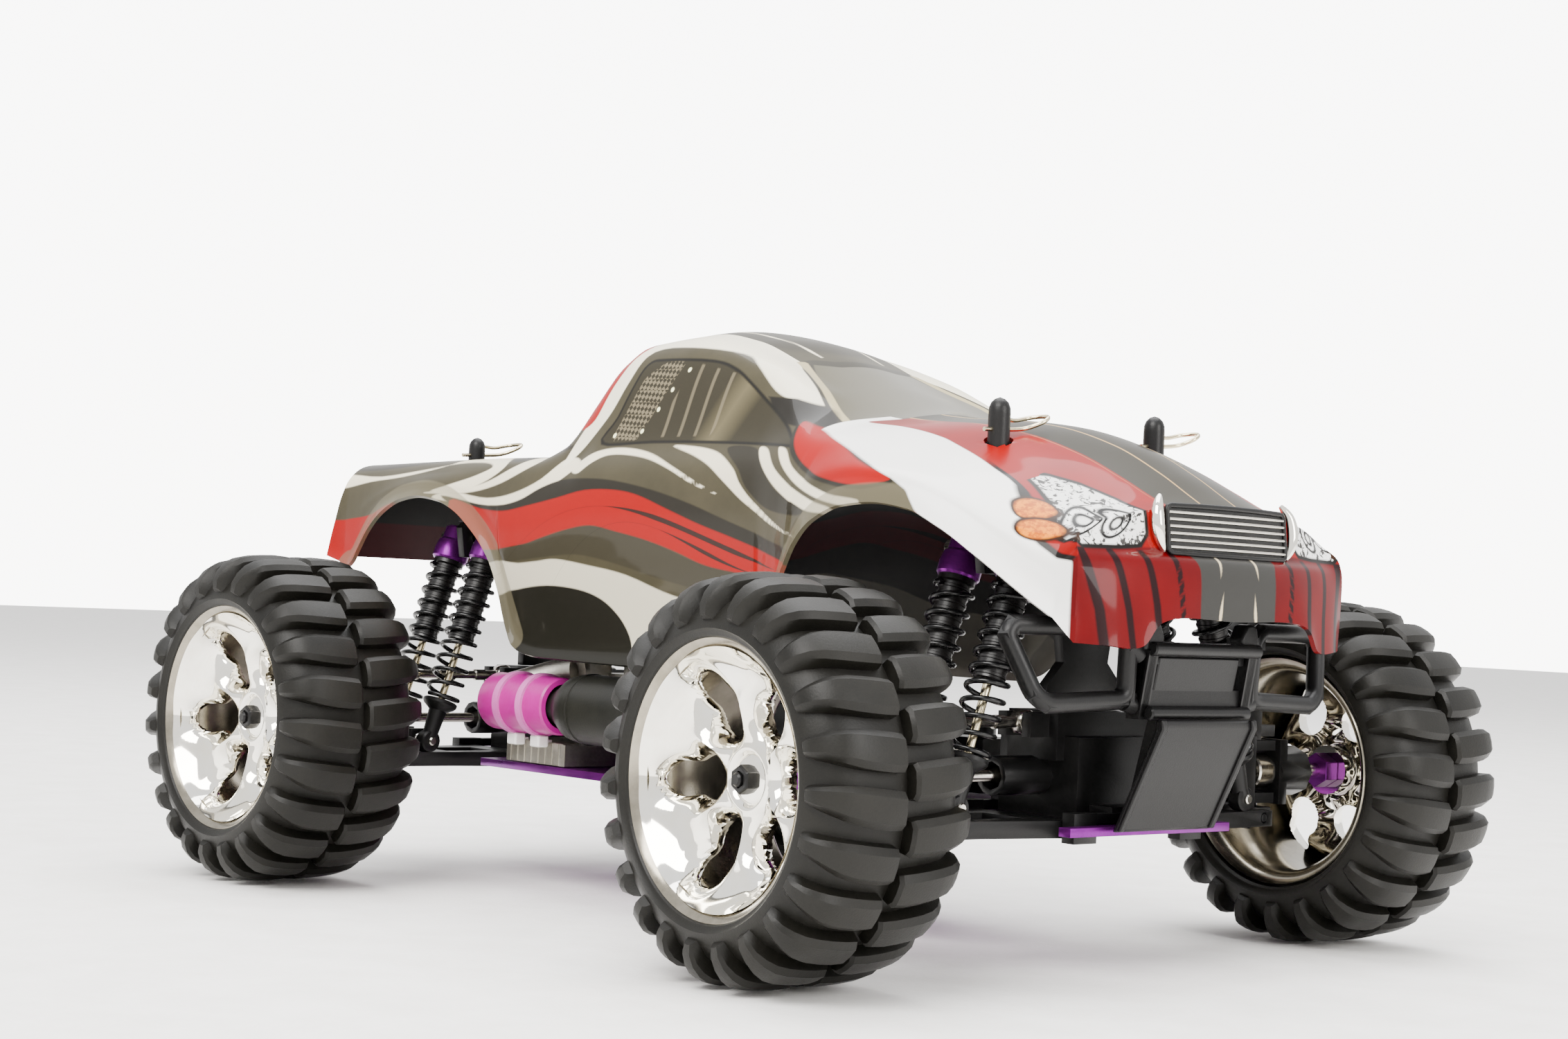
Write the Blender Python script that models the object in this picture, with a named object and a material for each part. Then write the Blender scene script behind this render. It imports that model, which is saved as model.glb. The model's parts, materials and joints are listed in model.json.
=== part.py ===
"""Remote control monster truck, one tenth class.

Built as the real truck is built: a shell on four posts, a folded plate chassis with a gearbox
at each end, and four corners of parallel arms, twin dampers, carriers, stub axles and wheels.
Millimetres in the design functions, metres in Blender. +X forward, +Y left, +Z up.
"""
import bpy
import bmesh
import math
from mathutils import Matrix, Vector

# ---------------------------------------------------------------- driving dimensions (mm)
X_SHIFT = 0.745            # puts the middle of the overall length on X = 0
AXLE_X = 146.5           # half the wheelbase
WHEEL_Y = 132.0          # middle of each tyre from the centre line
WHEEL_R = 62.5           # over the tread
RIM_R = 41.5             # lip radius
STEER0 = -3.8            # degrees, the front wheels as they stand
KINGPIN_Y = 95.0
ARM_IN_Y, ARM_OUT_Y = 28.0, 84.0
LOW_Z, UP_Z = 47.0, 80.0
SHOCK_TOP = (45.0, 136.0)
SHOCK_LOW = (72.0, 54.0)
SHOCK_DX = 13.0
STEER_ARM = 24.0
PLATE_Z0, PLATE_Z1 = 45.5, 48.5
SHELL_T = 1.6
SEG = 14

for ob in list(bpy.data.objects):
    bpy.data.objects.remove(ob, do_unlink=True)
for me in list(bpy.data.meshes):
    bpy.data.meshes.remove(me)

MM = 0.001
NODES = {}


def V(x, y, z):
    return Vector(((x + X_SHIFT) * MM, y * MM, z * MM))


# ---------------------------------------------------------------- solids as bmeshes, in mm
def box(x0, x1, y0, y1, z0, z1):
    bm = bmesh.new()
    v = [bm.verts.new((x, y, z)) for x in (x0, x1) for y in (y0, y1) for z in (z0, z1)]
    for f in ((0, 1, 3, 2), (4, 6, 7, 5), (0, 4, 5, 1), (2, 3, 7, 6), (0, 2, 6, 4), (1, 5, 7, 3)):
        bm.faces.new([v[i] for i in f])
    bmesh.ops.recalc_face_normals(bm, faces=bm.faces)
    return bm


def prism(pts, axis, a0, a1):
    """Outline pts in the two other axes, in X, Y, Z order, from a0 to a1 along axis."""
    bm = bmesh.new()

    def at(p, a):
        c = list(p)
        c.insert("xyz".index(axis), a)
        return bm.verts.new(c)
    lo = [at(p, a0) for p in pts]
    hi = [at(p, a1) for p in pts]
    n = len(pts)
    bm.faces.new(lo)
    bm.faces.new(list(reversed(hi)))
    for i in range(n):
        bm.faces.new((lo[i], lo[(i + 1) % n], hi[(i + 1) % n], hi[i]))
    bmesh.ops.recalc_face_normals(bm, faces=bm.faces)
    bmesh.ops.triangulate(bm, faces=[f for f in bm.faces if len(f.verts) > 4])
    return bm


def revolve(profile, origin, direction, n=12, closed=False, ref=None, phase=0.0):
    """Turned solid. profile is (along, radius); a closed profile makes a ring."""
    d = Vector(direction).normalized()
    a = Vector(ref) if ref else (Vector((0, 0, 1)) if abs(d.z) < 0.9 else Vector((1, 0, 0)))
    a = (a - d * a.dot(d)).normalized()
    b = d.cross(a)
    o = Vector(origin)
    bm = bmesh.new()
    rings = []
    for t, r in profile:
        if r < 1e-6:
            rings.append([bm.verts.new(o + d * t)] * n)
        else:
            ring = []
            for i in range(n):
                w = 2 * math.pi * (i + phase) / n
                ring.append(bm.verts.new(o + d * t + (a * math.cos(w) + b * math.sin(w)) * r))
            rings.append(ring)
    m = len(rings)
    for k in range(m if closed else m - 1):
        p, q = rings[k], rings[(k + 1) % m]
        for i in range(n):
            j = (i + 1) % n
            vs = []
            for v in (p[i], p[j], q[j], q[i]):
                if v not in vs:
                    vs.append(v)
            if len(vs) > 2:
                bm.faces.new(vs)
    if not closed:
        for ring in (rings[0], rings[-1]):
            if ring[0] is not ring[1]:
                bm.faces.new(ring)
    bmesh.ops.recalc_face_normals(bm, faces=bm.faces)
    return bm


def rod(p, q, r, n=8):
    n = min(n, 8 if r < 10 else 12)
    p, q = Vector(p), Vector(q)
    return revolve([(0, r), ((q - p).length, r)], p, q - p, n)


def ring(p, q, ro, ri, n=12):
    p, q = Vector(p), Vector(q)
    L = (q - p).length
    return revolve([(0, ri), (0, ro), (L, ro), (L, ri)], p, q - p, n, closed=True)


def tube(path, r, n=8):
    """Round bar along a smooth path."""
    pts = [Vector(p) for p in path]
    bm = bmesh.new()
    rings = []
    up = Vector((0, 0, 1))
    for i, p in enumerate(pts):
        d = (pts[min(i + 1, len(pts) - 1)] - pts[max(i - 1, 0)]).normalized()
        if abs(d.dot(up)) > 0.95:
            up = Vector((1, 0, 0))
        a = (up - d * up.dot(d)).normalized()
        b = d.cross(a)
        up = a
        rr = r[i] if isinstance(r, (list, tuple)) else r
        rings.append([bm.verts.new(p + (a * math.cos(2 * math.pi * k / n) + b * math.sin(2 * math.pi * k / n)) * rr) for k in range(n)])
    for p, q in zip(rings, rings[1:]):
        for i in range(n):
            bm.faces.new((p[i], p[(i + 1) % n], q[(i + 1) % n], q[i]))
    bm.faces.new(rings[0])
    bm.faces.new(rings[-1])
    bmesh.ops.recalc_face_normals(bm, faces=bm.faces)
    return bm


def loop_tube(path, r, n=6):
    """Round bar bent into a closed loop, with mitred corners."""
    pts = [Vector(p) for p in path]
    m = len(pts)
    c = sum(pts, Vector()) / m
    bm = bmesh.new()
    rings = []
    for i, p in enumerate(pts):
        u, w = (p - pts[i - 1]).normalized(), (pts[(i + 1) % m] - p).normalized()
        d = (u + w).normalized()
        a = (c - p)
        a = (a - d * a.dot(d)).normalized()
        b = d.cross(a)
        k = 1 / max(0.6, d.dot(u))
        rings.append([bm.verts.new(p + a * (math.cos(2 * math.pi * j / n) * r * k) + b * (math.sin(2 * math.pi * j / n) * r)) for j in range(n)])
    for i in range(m):
        p, q = rings[i], rings[(i + 1) % m]
        for j in range(n):
            bm.faces.new((p[j], p[(j + 1) % n], q[(j + 1) % n], q[j]))
    bmesh.ops.recalc_face_normals(bm, faces=bm.faces)
    return bm


def as_object(bm, name):
    me = bpy.data.meshes.new(name)
    bm.to_mesh(me)
    bm.free()
    ob = bpy.data.objects.new(name, me)
    bpy.context.scene.collection.objects.link(ob)
    return ob


def boolean(ob, tools, op):
    for k, t in enumerate(tools):
        c = as_object(t, "tool")
        m = ob.modifiers.new("b", "BOOLEAN")
        m.object = c
        m.operation = op
        m.solver = "EXACT"
        dg = bpy.context.evaluated_depsgraph_get()
        me = bpy.data.meshes.new_from_object(ob.evaluated_get(dg))
        ob.modifiers.clear()
        old = ob.data
        ob.data = me
        bpy.data.meshes.remove(old)
        bpy.data.objects.remove(c, do_unlink=True)
    return ob


def material(name, rgb, rough, metal):
    m = bpy.data.materials.new(name)
    m.use_nodes = True
    b = m.node_tree.nodes["Principled BSDF"]
    b.inputs["Base Color"].default_value = (*rgb, 1.0)
    b.inputs["Roughness"].default_value = rough
    b.inputs["Metallic"].default_value = metal
    return m


BLACK = ((0.015, 0.015, 0.016), 0.45, 0.0)
RUBBER = ((0.02, 0.02, 0.02), 0.75, 0.0)
CHROME = ((0.9, 0.88, 0.82), 0.08, 1.0)
STEEL = ((0.55, 0.55, 0.56), 0.35, 1.0)
ALLOY = ((0.72, 0.72, 0.72), 0.3, 1.0)
PURPLE = ((0.28, 0.04, 0.45), 0.3, 0.9)


def node(name, solids, look, cuts=(), origin=(0, 0, 0), turn=None, smooth=40):
    """One piece: the union of solids less the cuts, in mm, with its origin on its own axis."""
    ob = as_object(solids[0], name)
    if len(solids) > 1:
        boolean(ob, solids[1:], "UNION")
    if cuts:
        boolean(ob, list(cuts), "DIFFERENCE")
    me = ob.data
    me.materials.clear()
    me.materials.append(material(name + "_look", *look))
    if turn:
        c, ang = turn
        me.transform(Matrix.Translation(Vector(c)) @ Matrix.Rotation(math.radians(ang), 4, "Z") @ Matrix.Translation(-Vector(c)))
    o = Vector(origin)
    me.transform(Matrix.Scale(MM, 4) @ Matrix.Translation(-o))
    me.validate()
    ob.location = V(*o)
    me.shade_smooth()
    me.set_sharp_from_angle(angle=math.radians(smooth))
    NODES[name] = ob
    return ob


# ---------------------------------------------------------------- corners
CORNERS = [("front_right", 1, -1), ("front_left", 1, 1), ("rear_right", -1, -1), ("rear_left", -1, 1)]


def corner(tag, e, s):
    ax = e * AXLE_X
    front = e > 0
    k = (ax, s * KINGPIN_Y, WHEEL_R)
    turn = (k, STEER0) if front else None
    out = (0, s, 0)
    hub = (ax, s * WHEEL_Y, WHEEL_R)
    spin_at = hub
    if front:
        a = math.radians(STEER0)
        dy = s * (WHEEL_Y - KINGPIN_Y)
        spin_at = (ax - math.sin(a) * dy, s * KINGPIN_Y + math.cos(a) * dy, WHEEL_R)
    # tyre: an open-backed casing whose beads sit on the rim
    f = 1 / math.cos(math.pi / SEG)
    half = [(24, 62.5), (30.3, 50.5), (25.6, 42.1), (21.7, 42.1), (21.7, 38.4), (17.5, 38.4), (26.8, 50.5), (21.5, 59)]
    prof = [(t, r * f) for t, r in half] + [(-t, r * f) for t, r in reversed(half)]
    tyre = revolve(prof, hub, out, SEG, closed=True, phase=0.5)
    node("tyre_" + tag, [tyre], RUBBER, origin=spin_at, turn=turn, smooth=50)
    prof = [(13.9, 3.4), (13.9, 9), (19.5, 31), (25.4, 38.3), (25.4, 41.5), (22.1, 41.5), (22.1, 38), (-22.1, 38),
            (-22.1, 41.5), (-25.0, 41.5), (-25.0, 35.3), (16.0, 35.3), (14.5, 31), (9, 9), (4.2, 9), (4.2, 3.4)]
    rim = revolve([(t, r * f if r > 30 else r) for t, r in prof], hub, out, SEG, closed=True, phase=0.5)
    wins = []
    for i in range(6):
        w = math.radians(60 * i + 12)
        rad = Vector((math.cos(w), 0, math.sin(w)))
        tan = Vector((-math.sin(w), 0, math.cos(w)))
        c = Vector(hub)
        pts = [(16, 3.2), (29.5, 7.6), (32, 4), (32, -4), (29.5, -7.6), (16, -3.2)]
        bm = bmesh.new()
        lo = [bm.verts.new(c + rad * p[0] + tan * p[1] + Vector(out) * 2) for p in pts]
        hi = [bm.verts.new(c + rad * p[0] + tan * p[1] + Vector(out) * 30) for p in pts]
        bm.faces.new(lo)
        bm.faces.new(list(reversed(hi)))
        for q in range(6):
            bm.faces.new((lo[q], lo[(q + 1) % 6], hi[(q + 1) % 6], hi[q]))
        bmesh.ops.recalc_face_normals(bm, faces=bm.faces)
        wins.append(bm)
    node("rim_" + tag, [rim], CHROME, cuts=wins, origin=spin_at, turn=turn, smooth=35)
    # stub axle: drive cup, shaft, hex and nut, turned in one
    y0 = WHEEL_Y
    bm2 = revolve([(92 - y0, 6.5), (100.5 - y0, 6.5), (100.5 - y0, 2.5), (-3, 2.5), (-3, 6), (3.8, 6), (3.8, 2.5), (14.3, 2.5),
                   (14.3, 4.4), (18.5, 4.4)], hub, out, 7)
    bore = revolve([(90 - y0, 4.7), (99.4 - y0, 4.7)], hub, out, 8)
    node("axle_" + tag, [bm2], STEEL, cuts=[bore], origin=spin_at, turn=turn)

    # arms: lower plate and upper link, equal and parallel
    px = 22.0
    low = prism([(-px, 24.5), (px, 24.5), (px, 31), (15.5, 62), (14, 89), (8.8, 89), (8.8, 79), (-8.8, 79), (-8.8, 89), (-14, 89), (-15.5, 62), (-px, 31)], "z", 44, 49.6)
    low.transform(Matrix.Translation((ax, 0, 0)) @ Matrix.Scale(s, 4, (0, 1, 0)))
    bmesh.ops.recalc_face_normals(low, faces=low.faces)
    yo = lambda v: s * v
    ears = [box(ax + c - 1.6, ax + c + 1.6, min(yo(67), yo(77)), max(yo(67), yo(77)), 47, 58.5) for c in (-6.2, 6.2)]
    lcuts = [rod((ax - 30, yo(ARM_IN_Y), LOW_Z), (ax + 30, yo(ARM_IN_Y), LOW_Z), 2.3),
             box(ax - 9, ax + 9, min(yo(36), yo(60)), max(yo(36), yo(60)), 40, 55),
             rod((ax - 12, yo(SHOCK_LOW[0]), SHOCK_LOW[1]), (ax + 12, yo(SHOCK_LOW[0]), SHOCK_LOW[1]), 3.1),
             rod((ax - 30, yo(ARM_OUT_Y), LOW_Z), (ax + 30, yo(ARM_OUT_Y), LOW_Z), 2.1)]
    lpin = rod((ax - 14.5, yo(ARM_OUT_Y), LOW_Z), (ax + 14.5, yo(ARM_OUT_Y), LOW_Z), 1.5)
    ob = node("lower_arm_" + tag, [low] + ears, BLACK, cuts=lcuts, origin=(ax, yo(ARM_IN_Y), LOW_Z))
    up_eyes = [rod((ax - 2.9, yo(v), UP_Z), (ax + 2.9, yo(v), UP_Z), 4.2, 8) for v in (ARM_IN_Y, ARM_OUT_Y)]
    up = [rod((ax, yo(ARM_IN_Y), UP_Z), (ax, yo(ARM_OUT_Y), UP_Z), 2.0, 8)]
    ucuts = [rod((ax - 9, yo(v), UP_Z), (ax + 9, yo(v), UP_Z), 2.2) for v in (ARM_IN_Y, ARM_OUT_Y)]
    node("upper_arm_" + tag, up_eyes + up, STEEL, cuts=ucuts, origin=(ax, yo(ARM_IN_Y), UP_Z))

    # dogbone from the gearbox cup to the axle cup
    db = [rod((ax, yo(39), WHEEL_R), (ax, yo(KINGPIN_Y), WHEEL_R), 1.8, 6)]
    for v in (39, KINGPIN_Y):
        db.append(revolve([(-3.3, 0), (-1.7, 2.8), (1.7, 2.8), (3.3, 0)], (ax, yo(v), WHEEL_R), (0, s, 0), 8, ref=(1, 0, 0.2)))
    node("dogbone_" + tag, db, STEEL, origin=(ax, yo(39), WHEEL_R))

    # carrier: spine with the two arm eyes; in front a C that holds the kingpin pegs
    def by(a, b):
        return (min(yo(a), yo(b)), max(yo(a), yo(b)))
    spine = box(ax - 8, ax + 8, *by(79.6, 86.4), 50, 75.5)
    eye_lo = rod((ax - 8, yo(ARM_OUT_Y), LOW_Z), (ax + 8, yo(ARM_OUT_Y), LOW_Z), 4.4, 12)
    lugs = [box(ax + c - 1.6, ax + c + 1.6, *by(80.0, 90.5), 74, 84.5) for c in (-5.2, 5.2)]
    window = box(ax - 5, ax + 5, *by(70, 90), 54.5, 70.5)
    pins = [rod((ax - 14.4, yo(ARM_OUT_Y), LOW_Z), (ax + 14.4, yo(ARM_OUT_Y), LOW_Z), 1.5), rod((ax - 5.4, yo(ARM_OUT_Y), UP_Z), (ax + 5.4, yo(ARM_OUT_Y), UP_Z), 1.6)]
    low_neck = box(ax - 7, ax + 7, *by(80.5, 86), 46.5, 51)
    if front:
        legs = [box(ax - 6.2, ax + 6.2, *by(88.9, 99), 75.2, 79.4), box(ax - 5.5, ax + 5.5, *by(84.6, 99), 45.4, 49.8)]
        holes = [rod((ax, yo(KINGPIN_Y), 40), (ax, yo(KINGPIN_Y), 52), 2.7, 10), rod((ax, yo(KINGPIN_Y), 74), (ax, yo(KINGPIN_Y), 86), 2.7, 10)]
        node("c_hub_" + tag, [spine, low_neck, eye_lo] + lugs + legs + pins, BLACK, cuts=[window] + holes, origin=(ax, yo(ARM_OUT_Y), LOW_Z))
        barrel = rod((ax, yo(101.2), WHEEL_R), (ax, yo(117), WHEEL_R), 9, 8)
        plate = box(ax - 7.5, ax + 7.5, *by(101.0, 105), WHEEL_R - 11.6, WHEEL_R + 11.6)
        lug = [box(ax - 5, ax + 5, *by(91, 103), WHEEL_R + 7.6, WHEEL_R + 11.2), box(ax - 5, ax + 5, *by(91, 103), WHEEL_R - 11.2, WHEEL_R - 7.6)]
        pegs = [rod((ax, yo(KINGPIN_Y), WHEEL_R + 10), (ax, yo(KINGPIN_Y), 79.8), 2.0, 10), rod((ax, yo(KINGPIN_Y), 45.2), (ax, yo(KINGPIN_Y), WHEEL_R - 10), 2.0, 10)]
        arm = prism([(3, 102.2), (-6, 102.2), (-STEER_ARM + 4, 91.5), (-STEER_ARM - 4, 91.5), (-STEER_ARM - 4, 98.5), (-6, 105.5), (3, 105.5)], "z", 60.5, 64.5)
        arm.transform(Matrix.Translation((ax, 0, 0)) @ Matrix.Scale(s, 4, (0, 1, 0)))
        bmesh.ops.recalc_face_normals(arm, faces=arm.faces)
        node("steering_knuckle_" + tag, [barrel, plate] + lug + pegs + [arm], BLACK,
             cuts=[rod((ax, yo(90), WHEEL_R), (ax, yo(125), WHEEL_R), 3.0, 12)], origin=k, turn=turn)
    else:
        barrel = rod((ax, yo(101.2), WHEEL_R), (ax, yo(117), WHEEL_R), 9, 8)
        webs = [box(ax - 7, ax + 7, *by(80, 104), WHEEL_R + 8, WHEEL_R + 12.5), box(ax - 7, ax + 7, *by(80, 104), WHEEL_R - 12.5, WHEEL_R - 8)]
        plate = box(ax - 7.5, ax + 7.5, *by(101.0, 105), WHEEL_R - 11.6, WHEEL_R + 11.6)
        node("hub_carrier_" + tag, [spine, low_neck, eye_lo] + lugs + [barrel, plate] + webs + pins, BLACK,
             cuts=[window, rod((ax, yo(90), WHEEL_R), (ax, yo(125), WHEEL_R), 3.0, 12)], origin=(ax, yo(ARM_OUT_Y), LOW_Z))

    # twin dampers: bodies on one upper pin, rods on one lower pin
    top = Vector((0, yo(SHOCK_TOP[0]), SHOCK_TOP[1]))
    bot = Vector((0, yo(SHOCK_LOW[0]), SHOCK_LOW[1]))
    d = (bot - top).normalized()
    L = (bot - top).length
    bodies, rods, bores = [], [], []
    for c in (-SHOCK_DX, SHOCK_DX):
        o = Vector((ax + c, 0, 0)) + top
        bodies.append(revolve([(-4, 4.2), (6, 7.2), (12, 7.2), (12, 5.2), (44, 5.2)], o, d, 7))
        bores.append(revolve([(14, 2.3), (60, 2.3)], o, d, 6))
        rods.append(revolve([(30, 1.5), (L - 17, 1.5), (L - 17, 7.0), (L - 14, 7.0), (L - 12, 3.2), (L + 2.2, 3.2)], o, d, 6))
    pin_t = rod(Vector((ax - 18, 0, 0)) + top, Vector((ax + 18, 0, 0)) + top, 1.8, 6)
    pin_b = rod(Vector((ax - 17, 0, 0)) + bot, Vector((ax + 17, 0, 0)) + bot, 1.7, 6)
    node("shock_bodies_" + tag, bodies + [pin_t], BLACK, cuts=bores, origin=(ax, top.y, top.z))
    node("shock_rods_" + tag, rods + [pin_b], STEEL, origin=(ax, bot.y, bot.z))


for tag, e, s in CORNERS:
    corner(tag, e, s)

# ---------------------------------------------------------------- steering
def steered(v):
    a = math.radians(STEER0)
    return (v[0] * math.cos(a) - v[1] * math.sin(a), v[0] * math.sin(a) + v[1] * math.cos(a))


BALL = steered((-STEER_ARM, 0.0))
BALL_X, BALL_DY = AXLE_X + BALL[0], BALL[1]
TIE_Z = 68.0
SAVER = (110.0, 14.0)
for tag, s in (("right", -1), ("left", 1)):
    yi, yo_ = s * 39 + BALL_DY, s * KINGPIN_Y + BALL_DY
    node("tie_rod_" + tag, [rod((BALL_X, yi, TIE_Z), (BALL_X, yo_, TIE_Z), 1.7, 8),
                            rod((BALL_X, yi, TIE_Z - 1.7), (BALL_X, yi, TIE_Z + 1.75), 4, 10),
                            rod((BALL_X, yo_, TIE_Z - 1.7), (BALL_X, yo_, TIE_Z + 1.75), 4, 10)], STEEL, origin=(BALL_X, yi, TIE_Z))
pin = (SAVER[0] + BALL[0], SAVER[1] + BALL[1])
bx, by_ = BALL_X, BALL_DY
node("steering_link", [prism([(bx - 3.5, -43 + by_), (bx + 2.6, -43 + by_), (bx + 2.6, 43 + by_), (bx - 3.5, 43 + by_), (bx - 3.5, -20 + by_),
                              (pin[0] + 4.5, -20 + by_), (pin[0] + 4.5, pin[1] + 5), (pin[0] - 4.5, pin[1] + 5), (pin[0] - 4.5, -30 + by_), (bx - 3.5, -30 + by_)], "z", 60.5, 64)],
     ALLOY, cuts=[rod((pin[0], pin[1], 55), (pin[0], pin[1], 70), 2.6, 10)], origin=(pin[0], pin[1], 62))
sv = [rod((SAVER[0], SAVER[1], 49.2), (SAVER[0], SAVER[1], 59.6), 5.5, 12),
      prism([(-2, -4), (-2, 4), (-STEER_ARM - 4, 3.6), (-STEER_ARM - 4, -3.6)], "z", 55.6, 59.6), rod((-STEER_ARM, 0, 58), (-STEER_ARM, 0, 66), 1.9, 10)]
a0 = Matrix.Translation((SAVER[0], SAVER[1], 0)) @ Matrix.Rotation(math.radians(STEER0), 4, "Z")
for bm in sv[1:]:
    bm.transform(a0)
node("servo_saver", sv, BLACK, cuts=[rod((SAVER[0], SAVER[1], 40), (SAVER[0], SAVER[1], 62), 2.8, 12)], origin=(SAVER[0], SAVER[1], 50))
node("steering_servo", [box(36, 74, 30, 50, 49, 69), box(30, 79, 30.6, 49.4, 60, 63), rod((64, 40, 68), (64, 40, 74), 5, 12)], BLACK, origin=(55, 40, 60))

# ---------------------------------------------------------------- chassis and gearboxes
outline = [(-178, 20), (-116.5, 20), (-116.5, 58), (55, 58), (96, 34), (117, 20), (174.9, 20), (174.9, 40), (180, 40)]
pts = outline + [(x, -y) for x, y in reversed(outline)]
node("chassis_plate", [prism(pts, "z", PLATE_Z0, PLATE_Z1), box(-36, -31, -12, 12, 48, 80), box(9, 14, -12, 12, 48, 80),
                       rod((SAVER[0], SAVER[1], 47), (SAVER[0], SAVER[1], 64), 2.2, 12)], PURPLE,
     cuts=[rod((-50, 0, 66), (30, 0, 66), 3.0, 12)], origin=(0, 0, 47))
node("spur_gear", [rod((-42, 0, 66), (26, 0, 66), 2.4, 10), revolve([(0, 15.4), (1, 16.4), (6, 16.4), (7, 15.4)], (-16, 0, 66), (1, 0, 0), 14),
                   rod((-23, 0, 66), (-15, 0, 66), 8, 12)], BLACK, origin=(0, 0, 66))
for tag, e in (("front", 1), ("rear", -1)):
    ax = e * AXLE_X
    parts = [box(ax - 17.5, ax + 17.5, -19.5, 19.5, 48.8, 76), box(ax - 11, ax + 11, -23, 23, 68, 84)]
    parts.append(revolve([(-42, 6.5), (42, 6.5)], (ax, 0, WHEEL_R), (0, 1, 0), 12))
    for s in (-1, 1):
        y = s * ARM_IN_Y
        for c in (-25.3, 25.3):
            parts.append(box(ax + c - 2.6, ax + c + 2.6, min(s * 21, s * 32), max(s * 21, s * 32), 42.6, 52.4))
        parts.append(rod((ax - 27.5, y, LOW_Z), (ax + 27.5, y, LOW_Z), 1.7, 6))
        for c in (-5.4, 5.4):
            parts.append(box(ax + c - 1.9, ax + c + 1.9, min(s * 20, s * 32), max(s * 20, s * 32), 75.4, 83.4))
        parts.append(rod((ax - 7, y, UP_Z), (ax + 7, y, UP_Z), 1.6, 6))
    for c in (-25.3, 25.3):
        parts.append(box(ax + c - 2.4, ax + c + 2.4, -24, 24, 49.0, 52.2))
    parts.append(box(ax - 27, ax + 27, -13, 13, 49.2, 54))
    cuts = [rod((ax, s * 34.5, WHEEL_R), (ax, s * 50, WHEEL_R), 4.7, 12) for s in (-1, 1)]
    node(tag + "_gearbox", parts, BLACK, cuts=cuts, origin=(ax, 0, WHEEL_R))
    half = [(0, 84.4), (19, 84.4), (19, 92), (11, 100), (14, 118), (38, 128), (51, 128), (53, 140), (46, 147), (14, 140), (0, 138)]
    outl = half + [(-y, z) for y, z in reversed(half[1:-1])]
    tw = [prism(outl, "x", ax - 2, ax + 2)]
    for s in (-1, 1):
        if e > 0:
            tw += [box(137.5, ax + 1.7, min(s * 34.5, s * 44), max(s * 34.5, s * 44), 143.2, 150),
                   revolve([(0, 3.6), (30.4, 3.6), (33.8, 2.6), (35, 0)], (141, s * 39.3, 145.7), (0, 0, 1), 10)]
        else:
            tw += [box(ax - 3.4, ax + 3.4, min(s * 41, s * 51), max(s * 41, s * 51), 142.5, 149),
                   revolve([(0, 3.2), (25, 3.2), (28, 2.4), (29, 0)], (ax, s * 46, 143.4), (0, 0, 1), 10)]
    node(tag + "_shock_tower", tw, BLACK, cuts=[rod((ax - 9, s * 45, 136), (ax + 9, s * 45, 136), 2.6, 10) for s in (-1, 1)], origin=(ax, 0, 84.4))

# ---------------------------------------------------------------- bumper and skid plate
bump = []
for s in (-1, 1):
    loop = [(192.5, 31, 90), (191, 66, 88.5), (190, 71, 91.5), (184.6, 78, 109), (184.6, 75.5, 112.3), (188, 60, 112.6), (192.5, 36, 112.6), (193.5, 31.5, 110)]
    bump.append(loop_tube([(x, s * y, z) for x, y, z in loop], 3.1, 6))
    bump.append(prism([(190, 84), (195.2, 84), (199, 106), (193, 106)], "y", min(s * 23, s * 27.5), max(s * 23, s * 27.5)))
    bump.append(box(190.5, 194.3, min(s * 20, s * 36), max(s * 20, s * 36), 88.4, 92.2))
    bump.append(box(191.5, 195.2, min(s * 20, s * 36), max(s * 20, s * 36), 106.9, 110.8))
bump += [box(190.8, 195, -26, 26, 88.2, 93.4), box(192.4, 196.6, -26, 26, 101.5, 105.8), box(181, 192, -14, 14, 84.6, 91),
         prism([(175, 49.2), (181, 49.2), (193, 88.6), (185, 88.6)], "y", -9, 9), box(174.7, 181.4, -9.5, 9.5, 49, 54)]
node("front_bumper", bump, BLACK, origin=(190, 0, 98))
node("skid_plate", [prism([(182.6, 47), (185.6, 47.6), (202.6, 80), (201.6, 84.4), (198.6, 84.4), (199.2, 80)], "y", -24.2, 24.2)], BLACK, origin=(192, 0, 66))

# ---------------------------------------------------------------- engine, fuel and radio
node("engine", [box(-93, -60, -20, 16, 49, 84), revolve([(0, 14), (4, 14), (4, 18), (8, 18), (8, 14), (12, 14), (12, 18), (16, 18), (16, 14), (20, 14), (20, 18), (26, 18), (32, 12)], (-76, -2, 83), (0, 0, 1), 12),
                box(-61, -43, -14, -3, 62, 79.4), box(-100, -64, -57, -18, 48.9, 57.6), rod((-92, -2, 66), (-104, -2, 66), 11, 12),
                box(-97, -86, -30.3, -18, 77, 91)], ALLOY, origin=(-76, 0, 49))
node("air_filter", [rod((-49, -8, 79.8), (-49, -8, 94), 4.5, 10), revolve([(0, 9), (3, 13), (22, 13), (25, 10)], (-45, -8, 92), (0, 0, 1), 14)], BLACK, origin=(-49, -8, 80))
node("exhaust_header", [tube([(-84, -60, 72), (-94, -60, 72), (-103, -60, 72), (-109.5, -59, 72.6), (-113, -54, 74.5), (-113, -47, 77.5), (-109, -43, 80.5), (-102, -43, 82.5), (-94.5, -42, 84), (-91.5, -38, 84), (-91.5, -32, 84)], 6.2, 8),
                        revolve([(0, 8), (2.5, 8)], (-91.5, -33.2, 84), (0, 1, 0), 10)], ALLOY, origin=(-103, -60, 72))
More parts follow.
